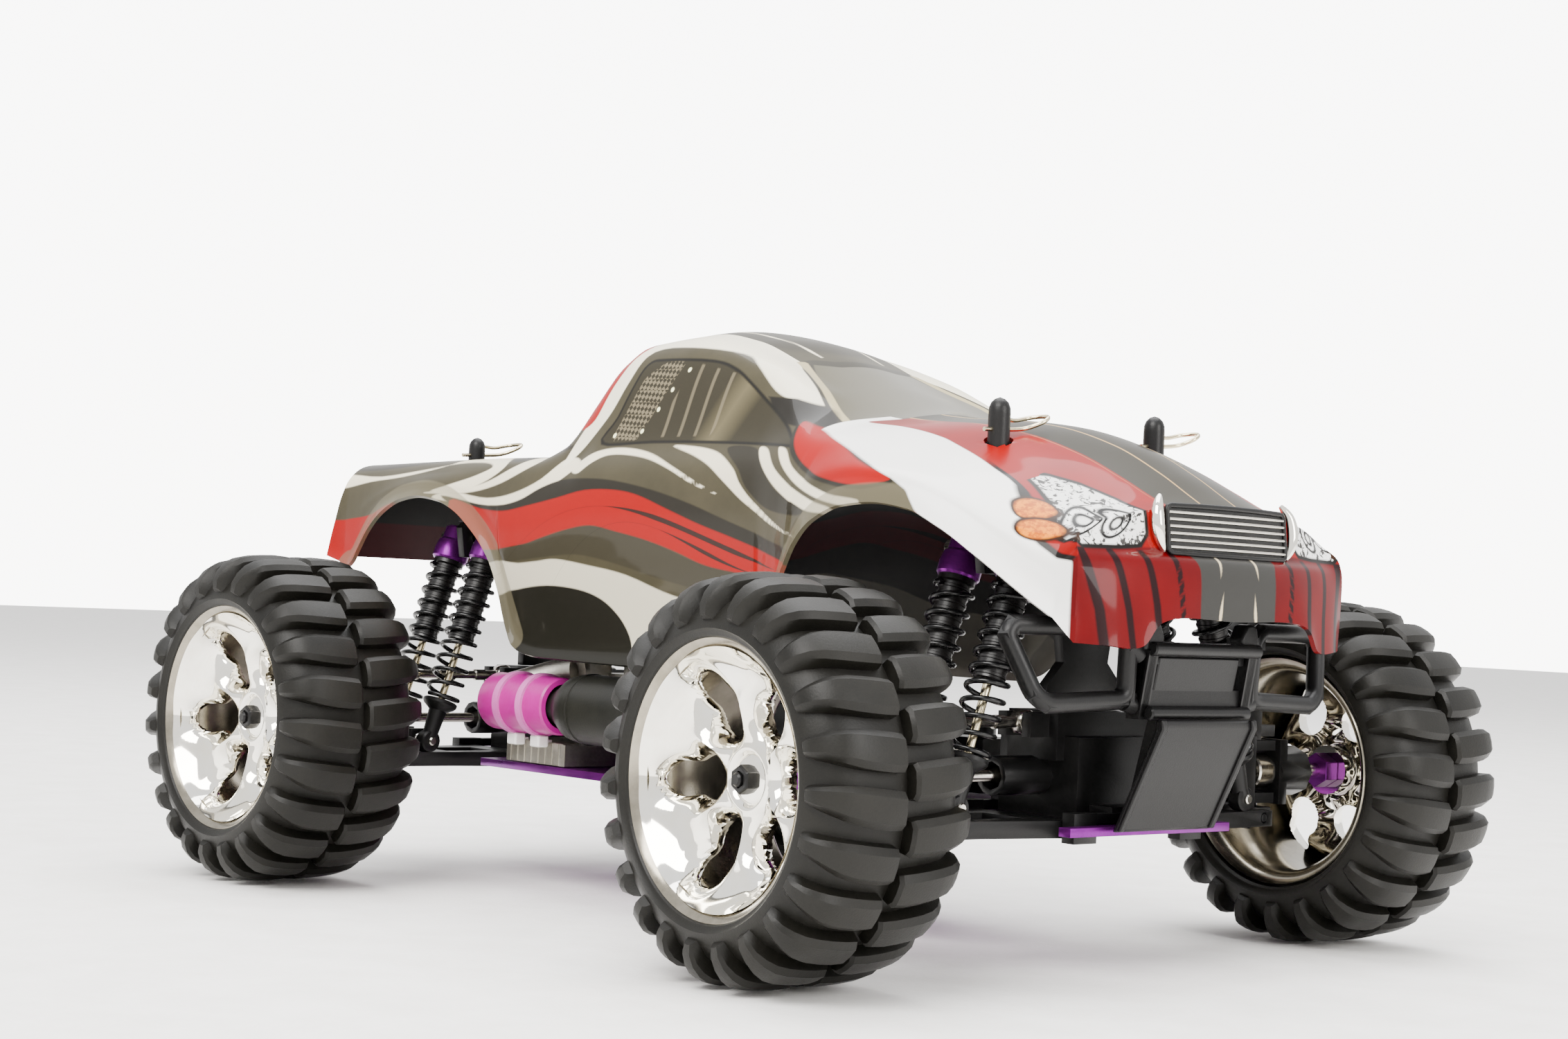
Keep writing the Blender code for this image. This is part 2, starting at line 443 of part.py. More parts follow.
node("exhaust_coupler", [revolve([(0, 7.5), (0, 11.2), (11, 11.2), (12, 12.3), (15.5, 12.3), (16.5, 11.2), (26, 11.2), (27, 12.3), (30.5, 12.3), (31.5, 11.2), (42, 11.2), (42, 7.5)],
                                 (-103, -60, 72), (1, 0, 0), 10, closed=True)], ((0.8, 0.02, 0.4), 0.35, 0.0), origin=(-103, -60, 72))
node("tuned_pipe", [revolve([(0, 6.4), (22, 6.4), (24, 10), (30, 13), (95, 13), (112, 6), (114, 4), (126, 4)], (-82, -60, 72), (1, 0, 0), 12), box(4, 9, -57, -51, 48.9, 63)], ((0.03, 0.03, 0.025), 0.5, 0.3), origin=(-60, -60, 72))
node("fuel_tank", [box(-58, 8, 26, 55, 49, 86), rod((-25, 40, 84), (-25, 40, 93), 9, 14), box(-40, -35, 36, 44, 84, 93.5)], ((0.8, 0.8, 0.78), 0.3, 0.0),
     cuts=[rod((-25, 40, 80), (-25, 40, 96), 6.5, 12)], origin=(-25, 40, 49))
node("fuel_tank_lid", [revolve([(0, 9.5), (2.5, 9.5), (4, 7)], (-25, 40, 93.4), (0, 0, 1), 14), box(-38, -30, 37, 43, 94.0, 95.9), rod((-38, 36.6, 95.6), (-38, 43.4, 95.6), 1.6, 10)], BLACK, origin=(-38, 40, 95.6))
node("radio_box", [box(18, 48, -45, -14, 49, 80), box(47.5, 74, -31, -4, 49, 72), box(46, 50, -30, -15, 50, 71)], BLACK, origin=(45, -25, 49))


# ---------------------------------------------------------------- body shell
def table(rows):
    """Smooth curve through (x, value) rows."""
    xs = [r[0] for r in rows]
    ys = [r[1] for r in rows]

    def at(x):
        if x <= xs[0]:
            return ys[0]
        if x >= xs[-1]:
            return ys[-1]
        i = max(k for k in range(len(xs) - 1) if xs[k] <= x)
        h = xs[i + 1] - xs[i]
        d = (ys[i + 1] - ys[i]) / h

        def slope(k):
            if k == 0 or k == len(xs) - 1:
                return None
            a = (ys[k] - ys[k - 1]) / (xs[k] - xs[k - 1])
            b = (ys[k + 1] - ys[k]) / (xs[k + 1] - xs[k])
            return 0.0 if a * b <= 0 else 2 * a * b / (a + b)
        m0, m1 = slope(i), slope(i + 1)
        m0 = d if m0 is None else m0
        m1 = d if m1 is None else m1
        t = (x - xs[i]) / h
        return (ys[i] * (1 + 2 * t) * (1 - t) ** 2 + m0 * h * t * (1 - t) ** 2 + ys[i + 1] * t * t * (3 - 2 * t) - m1 * h * t * t * (1 - t))
    return at


Z0 = table([(-208, 166.5), (-195, 168), (-120, 168.6), (-92, 169), (-82, 171), (-70, 186), (-58, 204), (-50, 212), (-41, 217), (-20, 219), (7, 214.8), (30, 206.5), (55, 195.5), (78, 186.2), (95, 183.6), (120, 182), (141, 179.5), (165, 173), (185, 163.4), (198, 155.5), (205.6, 150.8)])
Z1 = table([(-208, 166.2), (-120, 168.2), (-86, 168.8), (-76, 171), (-64, 186), (-54, 203), (-46, 210.5), (-38, 213.5), (-15, 215.5), (8, 211.8), (30, 203.5), (55, 192), (80, 182), (95, 180.2), (120, 178.6), (141, 175), (165, 168), (185, 159.5), (198, 153.5), (205.6, 150.6)])
Y2 = table([(-208, 60), (-95, 62), (-80, 60), (-55, 52), (-40, 48), (0, 48), (40, 49), (60, 52), (80, 57), (100, 56), (141, 51), (185, 47), (205.6, 46)])
Z2 = table([(-208, 165), (-120, 166.6), (-80, 167), (-66, 174), (-55, 191), (-46, 203), (-38, 207.4), (-10, 208.2), (12, 205.5), (35, 199.6), (55, 190.5), (72, 179.5), (84, 176), (100, 175), (141, 168.6), (165, 162), (185, 153.8), (198, 149), (205.6, 147.4)])
Y3 = table([(-208, 67.5), (-100, 69), (-75, 68), (-45, 64.5), (0, 63.5), (50, 65), (75, 69), (95, 70), (141, 68), (170, 65), (190, 62.5), (205.6, 60)])
Z3 = table([(-208, 159.5), (-120, 161.5), (-80, 163), (-52, 168.5), (-40, 171.6), (0, 172.6), (60, 171.6), (85, 170), (110, 168.6), (141, 163.5), (165, 157), (185, 149), (198, 144.6), (205.6, 143)])
Y4 = table([(-208, 70), (-145, 72), (-100, 72), (0, 71.5), (55, 72.5), (75, 76), (100, 81), (135, 83), (165, 79), (185, 72.5), (198, 67.6), (205.6, 66.8)])
ZB = table([(-216, 126.5), (-206, 124.5), (-199, 122.5), (-194.5, 124.5), (-190, 129.5), (-182, 138), (-170, 146), (-158, 150.3), (-145, 151.8), (-132, 150.3), (-119, 145.5), (-107, 137), (-98, 126.5), (-92, 114), (-87, 100), (-84, 94.4), (-79, 92), (-67, 90.6), (-9, 90), (52, 90), (62, 92), (68, 98), (74, 108.5), (79, 117), (85, 125), (94, 136), (104, 143.4), (118, 148), (132, 149), (148, 147), (160, 141.6), (172, 133.6), (184, 124), (192, 117.4), (198, 113), (205.6, 110.5)])
YB = table([(-208, 72), (-198, 73), (-170, 75), (-145, 75.5), (-115, 74.5), (-92, 71), (-80, 69), (40, 69), (58, 70), (70, 76), (85, 83.5), (100, 87), (125, 88.4), (150, 87), (168, 83), (182, 77), (192, 71.4), (198, 67.8), (205.6, 66.8)])
BOW = table([(120, 0.0), (170, 0.35), (198, 0.9), (205.6, 1.0)])
POSTS = [(141.0, 39.3), (141.0, -39.3), (-AXLE_X, 46.0), (-AXLE_X, -46.0)]


def section(x):
    """Half section at x, from the centre line down to the arch or sill. The nose is bowed in plan."""
    b = BOW(x)
    xs = x - b * 9.5
    zb, z3 = ZB(xs), Z3(x)
    y3, y4, yb = Y3(x), Y4(xs), YB(xs)
    m = z3 - zb
    z4 = max(z3 - 13, z3 - 0.35 * m)
    z5 = zb + min(5.0, 0.28 * m)
    y5 = yb - 1.8
    z45 = 0.5 * (z4 + z5)
    y45 = 0.5 * (y4 + y5) + (1.0 if m > 45 else 0.0)
    p = [(0, Z0(x)), (29, Z1(x)), (Y2(x), Z2(x)), (y3, z3), (y4, z4), (y45, z45), (y5, z5), (yb, zb)]
    return [(x - b * 9.5 * min(1.0, y / 66.8) ** 2.2, y, z) for y, z in p]


def bowed(x, y, z):
    return (x - 9.5 * (y / 66.8) ** 2.2, y, z)


STATIONS = (-199, -192, -182, -168, -145, -122, -107, -97, -91, -86.5, -82, -70, -59, -51, -42, -28, 5, 30, 52, 64,
            71, 78, 86, 98, 114, 132, 152, 170, 184, 196)


def shell_rows():
    """Rows of points from the tail's lower edge over the body to the fascia's lower edge.

    The tail and the fascia are faces of five columns, whose last column is the side's end edge."""
    rear = section(-208)[:3] + [(-207.6, 67.6, 159.4), (-209.2, 70.2, 152), (-212.2, 71.2, 141), (-214.6, 71.8, 132), (-216, 72, 126.6)]
    tail = [[(x, y, z) for y in (0, 29, 56, 66)] + [rear[5 + k]] for k, (x, z) in enumerate(((-211.4, 148), (-214, 136), (-216, 127)))]
    nose = section(205.6)[:4] + [(200.8, 66.0, 138.6), (201.8, 66.8, 135.6), (202.4, 67.0, 132.2), (201.7, 66.9, 107.6)]
    face = [[bowed(207.0, 0, 137.6), bowed(207.4, 29, 137.4), bowed(207.6, 46, 137.4), bowed(208.8, 60, 136.8), nose[5]],
            [bowed(211.0, 0, 133.8), bowed(211.0, 29, 133.6), bowed(211.0, 46, 133.2), bowed(211.2, 60, 132.6), nose[6]],
            [(211.6, 0, 115.9), (211.4, 36.8, 114.7), (210.3, 44.5, 107.2), (207.0, 58, 107.2), nose[7]]]
    return list(reversed(tail)), [rear] + [section(x) for x in STATIONS] + [nose], face


def shell_mesh():
    tail, body, face = shell_rows()
    bm = bmesh.new()
    for s in (1, -1):
        for rows in (tail + [body[0][:5]], body, [body[-1][:5]] + face):
            grid = [[bm.verts.new((p[0], s * p[1], p[2])) for p in r] for r in rows]
            for a, b in zip(grid, grid[1:]):
                for i in range(len(a) - 1):
                    q = (a[i], a[i + 1], b[i + 1], b[i])
                    bm.faces.new(q if s > 0 else tuple(reversed(q)))
    bmesh.ops.remove_doubles(bm, verts=bm.verts, dist=0.02)
    bmesh.ops.recalc_face_normals(bm, faces=bm.faces)
    if sum(f.normal.z * f.calc_area() for f in bm.faces) < 0:
        bmesh.ops.reverse_faces(bm, faces=bm.faces)
    bmesh.ops.triangulate(bm, faces=bm.faces)
    bm.normal_update()
    outer = list(bm.verts)
    inner = {v: bm.verts.new(v.co - v.normal * SHELL_T) for v in outer}
    faces = list(bm.faces)
    edges = [e for e in bm.edges if len(e.link_faces) == 1]
    rim = []
    for e in edges:
        f = e.link_faces[0]
        vs = list(f.verts)
        i = vs.index(e.verts[0])
        a, b = (e.verts[0], e.verts[1]) if vs[(i + 1) % 3] is e.verts[1] else (e.verts[1], e.verts[0])
        rim.append((a, b))
    for f in faces:
        bm.faces.new([inner[v] for v in reversed(f.verts)])
    for a, b in rim:
        bm.faces.new((b, a, inner[a], inner[b]))
    bmesh.ops.triangulate(bm, faces=[f for f in bm.faces if len(f.verts) > 3])
    return bm


node("body_shell", [shell_mesh()], ((0.35, 0.33, 0.28), 0.25, 0.0), cuts=[rod((x, y, 150), (x, y, 190), 5.0, 10) for x, y in POSTS], origin=(0, 0, 160), smooth=30)
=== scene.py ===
"""Looks for the remote control monster truck: painted shell, lugged tyres, chrome rims, springs and finishes."""
import bpy
import bmesh
import json
import math
import numpy as np
from mathutils import Matrix, Vector

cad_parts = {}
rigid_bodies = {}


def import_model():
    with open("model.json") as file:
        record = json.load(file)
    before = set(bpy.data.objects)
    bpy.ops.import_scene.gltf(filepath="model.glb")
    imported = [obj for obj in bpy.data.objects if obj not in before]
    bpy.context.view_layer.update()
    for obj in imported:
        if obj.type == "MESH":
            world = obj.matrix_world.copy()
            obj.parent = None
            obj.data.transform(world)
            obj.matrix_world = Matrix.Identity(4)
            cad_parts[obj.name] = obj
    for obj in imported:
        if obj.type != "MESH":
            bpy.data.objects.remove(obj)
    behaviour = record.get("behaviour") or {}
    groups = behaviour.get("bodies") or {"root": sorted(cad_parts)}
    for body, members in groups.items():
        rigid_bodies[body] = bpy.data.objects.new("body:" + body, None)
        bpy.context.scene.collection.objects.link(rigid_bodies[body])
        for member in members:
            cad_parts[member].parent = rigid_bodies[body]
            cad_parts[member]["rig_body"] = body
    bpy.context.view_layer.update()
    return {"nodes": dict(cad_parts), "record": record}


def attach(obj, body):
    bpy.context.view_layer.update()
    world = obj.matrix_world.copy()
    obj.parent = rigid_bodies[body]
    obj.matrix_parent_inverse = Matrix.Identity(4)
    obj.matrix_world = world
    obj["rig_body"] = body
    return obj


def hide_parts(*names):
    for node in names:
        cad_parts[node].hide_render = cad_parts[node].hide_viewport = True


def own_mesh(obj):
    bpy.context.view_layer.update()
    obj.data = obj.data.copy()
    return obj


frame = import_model()
X_SHIFT = 0.745
MM = 0.001
AXLE_X = 146.5
WHEEL_Y = 132.0
WHEEL_R = 62.5
STEER0 = -3.8
LIT = 2.2                 # how strongly the studio light reaches an open surface
KINGPIN_Y = 95.0
CORNERS = [("front_right", 1, -1), ("front_left", 1, 1), ("rear_right", -1, -1), ("rear_left", -1, 1)]


# ---------------------------------------------------------------- camera, floor, light
def camera():
    c = Vector((0.7198454764, -0.6495036487, 0.1174724440))
    yaw, pitch, roll = 2.4117395161, 0.0304298087, 0.0444344919
    d = Vector((math.cos(pitch) * math.cos(yaw), math.cos(pitch) * math.sin(yaw), math.sin(pitch)))
    r = d.cross(Vector((0, 0, 1))).normalized()
    u = r.cross(d)
    r2 = r * math.cos(roll) + u * math.sin(roll)
    u2 = -r * math.sin(roll) + u * math.cos(roll)
    m = Matrix((r2, u2, -d)).transposed().to_4x4()
    m.translation = c
    cam = bpy.data.cameras.new("camera")
    cam.sensor_width = 36.0
    cam.sensor_fit = "HORIZONTAL"
    cam.lens = 58.563
    cam.clip_start = 0.01
    cam.clip_end = 50
    ob = bpy.data.objects.new("camera", cam)
    bpy.context.scene.collection.objects.link(ob)
    ob.matrix_world = m
    bpy.context.scene.camera = ob


def area(name, where, at, size, power, colour=(1, 1, 1)):
    li = bpy.data.lights.new(name, "AREA")
    li.shape = "RECTANGLE"
    li.size, li.size_y = size
    li.energy = power
    li.color = colour
    ob = bpy.data.objects.new(name, li)
    bpy.context.scene.collection.objects.link(ob)
    ob.location = where
    ob.rotation_euler = (Vector(at) - Vector(where)).to_track_quat("-Z", "Y").to_euler()


def srgb(r, g, b):
    """A colour as it should look under the studio light, as a surface colour."""
    def f(c):
        c = min(0.985, c / 255.0)
        return min(0.93, max(0.0, 0.18 * (c / (1.02 - c)) ** 1.35 / LIT))
    return (f(r), f(g), f(b), 1.0)


class Tree:
    """Short hand for building a node material."""

    def __init__(self, name):
        self.m = bpy.data.materials.new(name)
        self.m.use_nodes = True
        self.t = self.m.node_tree
        self.p = self.t.nodes["Principled BSDF"]
        self.co = self.t.nodes.new("ShaderNodeTexCoord").outputs["Object"]

    def new(self, kind, **props):
        n = self.t.nodes.new(kind)
        for k, v in props.items():
            setattr(n, k, v)
        return n

    def link(self, a, b):
        self.t.links.new(a, b)

    def put(self, socket, value):
        if isinstance(value, bpy.types.NodeSocket):
            self.link(value, socket)
        else:
            socket.default_value = value

    def math(self, op, a, b=0.0, c=0.0, clamp=False):
        n = self.new("ShaderNodeMath", operation=op, use_clamp=clamp)
        for i, v in enumerate((a, b, c)):
            self.put(n.inputs[i], v)
        return n.outputs[0]

    def mix(self, fac, a, b, blend="MIX"):
        n = self.new("ShaderNodeMix", data_type="RGBA", blend_type=blend)
        self.put(n.inputs["Factor"], fac)
        self.put(n.inputs["A"], a)
        self.put(n.inputs["B"], b)
        return n.outputs["Result"]

    def noise(self, scale, detail=3.0, rough=0.55, dist=0.0, co=None):
        n = self.new("ShaderNodeTexNoise")
        self.link(co or self.co, n.inputs["Vector"])
        n.inputs["Scale"].default_value = scale
        n.inputs["Detail"].default_value = detail
        n.inputs["Roughness"].default_value = rough
        n.inputs["Distortion"].default_value = dist
        return n.outputs["Fac"]

    def ramp(self, fac, stops):
        n = self.new("ShaderNodeValToRGB")
        self.put(n.inputs["Fac"], fac)
        e = n.color_ramp.elements
        while len(e) < len(stops):
            e.new(0.5)
        for k, (pos, col) in enumerate(stops):
            e[k].position = pos
            e[k].color = col if len(col) == 4 else (*col, 1.0)
        return n.outputs["Color"]

    def span(self, v, a, b, lo=0.0, hi=1.0):
        n = self.new("ShaderNodeMapRange")
        for s, x in zip(("Value", "From Min", "From Max", "To Min", "To Max"), (v, a, b, lo, hi)):
            self.put(n.inputs[s], x)
        return n.outputs["Result"]

    def bump(self, height, strength, distance=0.0005):
        n = self.new("ShaderNodeBump")
        n.inputs["Strength"].default_value = strength
        n.inputs["Distance"].default_value = distance
        self.link(height, n.inputs["Height"])
        self.link(n.outputs["Normal"], self.p.inputs["Normal"])

    def attr(self, name):
        return self.new("ShaderNodeAttribute", attribute_name=name).outputs["Fac"]

    def xyz(self):
        n = self.new("ShaderNodeSeparateXYZ")
        self.link(self.co, n.inputs[0])
        return n.outputs


def finish_mat(name, a, b, metal, rough, scale=900.0, bump=0.12, dist=0.0002, coat=0.0, wear=None, detail=4.0, streak=None, spec=0.5):
    """Two close colours mottled together, with fine grain and uneven gloss."""
    t = Tree(name)
    broad = t.noise(38.0, 3.0, 0.6)
    co = None
    if streak:
        m = t.new("ShaderNodeMapping")
        t.link(t.co, m.inputs["Vector"])
        m.inputs["Scale"].default_value = streak
        co = m.outputs["Vector"]
    fine = t.noise(scale, detail, 0.6, co=co)
    k = t.math("ADD", t.math("MULTIPLY", broad, 0.7), t.math("MULTIPLY", fine, 0.3))
    col = t.mix(t.span(k, 0.36, 0.64), a, b)
    if wear is not None:
        col = t.mix(t.span(t.noise(160.0, 6.0, 0.75), 0.62, 0.72, 0.0, 0.6), col, wear)
    t.put(t.p.inputs["Base Color"], col)
    t.p.inputs["Metallic"].default_value = metal
    t.p.inputs["Specular IOR Level"].default_value = spec
    t.link(t.span(k, 0.3, 0.7, rough * 0.82, min(1.0, rough * 1.2)), t.p.inputs["Roughness"])
    t.bump(fine, bump, dist)
    if coat:
        t.p.inputs["Coat Weight"].default_value = coat
        t.p.inputs["Coat Roughness"].default_value = 0.08
    return t.m


camera()
M = {
    "rubber": finish_mat("tyre_rubber_look", srgb(22, 21, 17), srgb(36, 34, 28), 0.0, 0.44, 1500, 0.25, 0.00025, spec=0.2),
    "chrome": finish_mat("chrome_plate_look", (0.95, 0.93, 0.86, 1), (0.86, 0.82, 0.72, 1), 1.0, 0.06, 260, 0.012, 0.0001),
    # chrome_in: the rim chrome darkened, painted shade for the barrel inside the tyre and behind the face
    "chrome_in": finish_mat("chrome_painted_shade_look", (0.2, 0.18, 0.14, 1), (0.34, 0.31, 0.25, 1), 1.0, 0.2, 300, 0.05, 0.0002),
    "black": finish_mat("black_nylon_look", srgb(22, 22, 23), srgb(34, 33, 33), 0.0, 0.36, 1800, 0.3, 0.00015, spec=0.22),
    "spring": finish_mat("spring_enamel_look", srgb(14, 14, 15), srgb(24, 24, 25), 0.1, 0.26, 900, 0.08, 0.0001, spec=0.4),
    "body_alloy": finish_mat("damper_body_look", srgb(20, 18, 18), srgb(34, 30, 28), 0.2, 0.35, 900, 0.1, 0.0001),
    "steel": finish_mat("bright_steel_look", (0.56, 0.53, 0.47, 1), (0.72, 0.69, 0.62, 1), 1.0, 0.2, 1200, 0.08, 0.0001),
    "gold": finish_mat("warm_steel_look", (0.66, 0.56, 0.36, 1), (0.8, 0.71, 0.5, 1), 1.0, 0.18, 900, 0.06, 0.0001),
    "purple": finish_mat("purple_alloy_look", (0.12, 0.004, 0.16, 1), (0.2, 0.012, 0.24, 1), 0.8, 0.3, 1400, 0.12, 0.0001, streak=(0.08, 1, 1)),
    "magenta": finish_mat("magenta_silicone_look", (0.33, 0.002, 0.17, 1), (0.4, 0.006, 0.23, 1), 0.0, 0.32, 700, 0.08, 0.0002, spec=0.35),
    "magenta_lt": finish_mat("magenta_band_look", (0.5, 0.09, 0.34, 1), (0.58, 0.14, 0.42, 1), 0.0, 0.34, 700, 0.08, 0.0002),
    "white": finish_mat("white_nylon_look", (0.8, 0.79, 0.76, 1), (0.88, 0.87, 0.84, 1), 0.0, 0.4, 1200, 0.1, 0.0001),
    "pipe": finish_mat("dark_pipe_look", srgb(34, 34, 28), srgb(50, 49, 40), 0.1, 0.42, 1300, 0.2, 0.0002, spec=0.3),
    "alloy": finish_mat("cast_alloy_look", (0.42, 0.4, 0.35, 1), (0.58, 0.56, 0.5, 1), 0.95, 0.34, 900, 0.3, 0.0003),
    "tank": finish_mat("tank_plastic_look", (0.42, 0.4, 0.33, 1), (0.5, 0.48, 0.41, 1), 0.0, 0.4, 900, 0.12, 0.0002),
    # hole: near-black, painted shade for the grille opening
    "hole": finish_mat("painted_recess_shade_look", srgb(9, 9, 9), srgb(15, 15, 15), 0.0, 0.7, 900, 0.1, 0.0001),
    "floor": finish_mat("pale_cloth_look", (0.86, 0.84, 0.81, 1), (0.93, 0.915, 0.89, 1), 0.0, 0.9, 420, 0.25, 0.0006),
}


# ---------------------------------------------------------------- meshes, in millimetres
def build(bm, name, body, mat, standin=(), smooth=38, bevel=0.0, turn=None):
    """One piece from a mesh in millimetres: placed, finished, and riding on its body."""
    bmesh.ops.recalc_face_normals(bm, faces=bm.faces)
    me = bpy.data.meshes.new(name)
    bm.to_mesh(me)
    bm.free()
    if turn:
        c, ang = turn
        me.transform(Matrix.Translation(Vector(c)) @ Matrix.Rotation(math.radians(ang), 4, "Z") @ Matrix.Translation(-Vector(c)))
    me.transform(Matrix.Scale(MM, 4) @ Matrix.Translation((X_SHIFT, 0, 0)))
    ob = bpy.data.objects.new(name, me)
    bpy.context.scene.collection.objects.link(ob)
    for m in (mat if isinstance(mat, (list, tuple)) else [mat]):
        me.materials.append(M[m] if isinstance(m, str) else m)
    me.shade_smooth()
    me.set_sharp_from_angle(angle=math.radians(smooth))
    if bevel:
        b = ob.modifiers.new("edge", "BEVEL")
        b.width = bevel * MM
        b.segments = 2
        b.limit_method = "ANGLE"
        b.angle_limit = math.radians(38)
        b.harden_normals = False
        bake(ob)
    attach(ob, body)
    if standin:
        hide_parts(*standin)
    return ob


def bake(ob):
    dg = bpy.context.evaluated_depsgraph_get()
    me = bpy.data.meshes.new_from_object(ob.evaluated_get(dg))
    ob.modifiers.clear()
    ob.data = me


def join(*parts):
    bm = bmesh.new()
    for p in parts:
        me = bpy.data.meshes.new("t")
        p.to_mesh(me)
        p.free()
        bm.from_mesh(me)
        bpy.data.meshes.remove(me)
    return bm


def box(x0, x1, y0, y1, z0, z1):
    bm = bmesh.new()
    v = [bm.verts.new((x, y, z)) for x in (x0, x1) for y in (y0, y1) for z in (z0, z1)]
    for f in ((0, 1, 3, 2), (4, 6, 7, 5), (0, 4, 5, 1), (2, 3, 7, 6), (0, 2, 6, 4), (1, 5, 7, 3)):
        bm.faces.new([v[i] for i in f])
    return bm


def prism(pts, axis, a0, a1):
    bm = bmesh.new()

    def at(p, a):
        c = list(p)
        c.insert("xyz".index(axis), a)
        return bm.verts.new(c)
    lo = [at(p, a0) for p in pts]
    hi = [at(p, a1) for p in pts]
    n = len(pts)
    bm.faces.new(lo)
    bm.faces.new(list(reversed(hi)))
    for i in range(n):
        bm.faces.new((lo[i], lo[(i + 1) % n], hi[(i + 1) % n], hi[i]))
    return bm


def revolve(profile, origin, direction, n=32, closed=False, ref=None, phase=0.0):
    d = Vector(direction).normalized()
    a = Vector(ref) if ref else (Vector((0, 0, 1)) if abs(d.z) < 0.9 else Vector((1, 0, 0)))
    a = (a - d * a.dot(d)).normalized()
    b = d.cross(a)
    o = Vector(origin)
    bm = bmesh.new()
    rings = []
    for t, r in profile:
        if r < 1e-6:
            rings.append([bm.verts.new(o + d * t)] * n)
        else:
            rings.append([bm.verts.new(o + d * t + (a * math.cos(2 * math.pi * (i + phase) / n) + b * math.sin(2 * math.pi * (i + phase) / n)) * r) for i in range(n)])
    m = len(rings)
    for k in range(m if closed else m - 1):
        p, q = rings[k], rings[(k + 1) % m]
        for i in range(n):
            j = (i + 1) % n
            vs = []
            for v in (p[i], p[j], q[j], q[i]):
                if v not in vs:
                    vs.append(v)
            if len(vs) > 2:
                bm.faces.new(vs)
    if not closed:
        for ring in (rings[0], rings[-1]):
            if ring[0] is not ring[1]:
                bm.faces.new(ring)
    return bm


def rod(p, q, r, n=20, cap=0.12):
    """A round bar with broken edges."""
    p, q = Vector(p), Vector(q)
    L = (q - p).length
    c = min(r * cap * 2, L * 0.2)
    return revolve([(0, r - c), (c, r), (L - c, r), (L, r - c)], p, q - p, n)


def ball(c, r, n=18, m=10):
    return revolve([(-r * math.cos(math.pi * k / m), r * math.sin(math.pi * k / m)) for k in range(m + 1)], c, (0, 0, 1), n)


def tube(path, r, n=14, closed=False):
    pts = [Vector(p) for p in path]
    bm = bmesh.new()
    rings = []
    m = len(pts)
    up = None
    for i, p in enumerate(pts):
        if closed:
            d = (pts[(i + 1) % m] - pts[i - 1]).normalized()
        else:
            d = (pts[min(i + 1, m - 1)] - pts[max(i - 1, 0)]).normalized()
        if up is None:
            up = Vector((0, 0, 1)) if abs(d.z) < 0.9 else Vector((1, 0, 0))
        a = (up - d * up.dot(d)).normalized()
        b = d.cross(a)
        up = a
        rr = r[i] if isinstance(r, (list, tuple)) else r
        rings.append([bm.verts.new(p + (a * math.cos(2 * math.pi * k / n) + b * math.sin(2 * math.pi * k / n)) * rr) for k in range(n)])
    for k in range(m if closed else m - 1):
        p, q = rings[k], rings[(k + 1) % m]
        for i in range(n):
            bm.faces.new((p[i], p[(i + 1) % n], q[(i + 1) % n], q[i]))
    if not closed:
        bm.faces.new(rings[0])
        bm.faces.new(rings[-1])
    return bm


def spline(pts, n=6, closed=False):
    """Smooth path through points."""
    P = [Vector(p) for p in pts]
    m = len(P)
    out = []
    for i in range(m if closed else m - 1):
        if closed:
            a, b, c, d = P[i - 1], P[i], P[(i + 1) % m], P[(i + 2) % m]
        else:
            a, b, c, d = P[max(i - 1, 0)], P[i], P[i + 1], P[min(i + 2, m - 1)]
        for k in range(n):
            t = k / n
            out.append(0.5 * (2 * b + (c - a) * t + (2 * a - 5 * b + 4 * c - d) * t * t + (3 * b - a - 3 * c + d) * t ** 3))
    if not closed:
        out.append(P[-1])
    return out


def rounded(pts, r, n=4):
    """Closed path with its corners rounded."""
    P = [Vector(p) for p in pts]
    out = []
    for i, p in enumerate(P):
        a, b = P[i - 1] - p, P[(i + 1) % len(P)] - p
        k = min(r, a.length * 0.42, b.length * 0.42)
        s, e = p + a.normalized() * k, p + b.normalized() * k
        for j in range(n + 1):
            t = j / n
            out.append(s * (1 - t) ** 2 + p * 2 * t * (1 - t) + e * t * t)
    return out


# ---------------------------------------------------------------- painted shell
def table(rows):
    """Smooth curve through (x, value) rows."""
    xs = [r[0] for r in rows]
    ys = [r[1] for r in rows]

    def at(x):
        if x <= xs[0]:
            return ys[0]
        if x >= xs[-1]:
            return ys[-1]
        i = max(k for k in range(len(xs) - 1) if xs[k] <= x)
        h = xs[i + 1] - xs[i]
        d = (ys[i + 1] - ys[i]) / h

        def slope(k):
            if k == 0 or k == len(xs) - 1:
                return None
            a = (ys[k] - ys[k - 1]) / (xs[k] - xs[k - 1])
            b = (ys[k + 1] - ys[k]) / (xs[k + 1] - xs[k])
            return 0.0 if a * b <= 0 else 2 * a * b / (a + b)
        m0, m1 = slope(i), slope(i + 1)
        m0 = d if m0 is None else m0
        m1 = d if m1 is None else m1
        t = (x - xs[i]) / h
        return (ys[i] * (1 + 2 * t) * (1 - t) ** 2 + m0 * h * t * (1 - t) ** 2 + ys[i + 1] * t * t * (3 - 2 * t) - m1 * h * t * t * (1 - t))
    return at


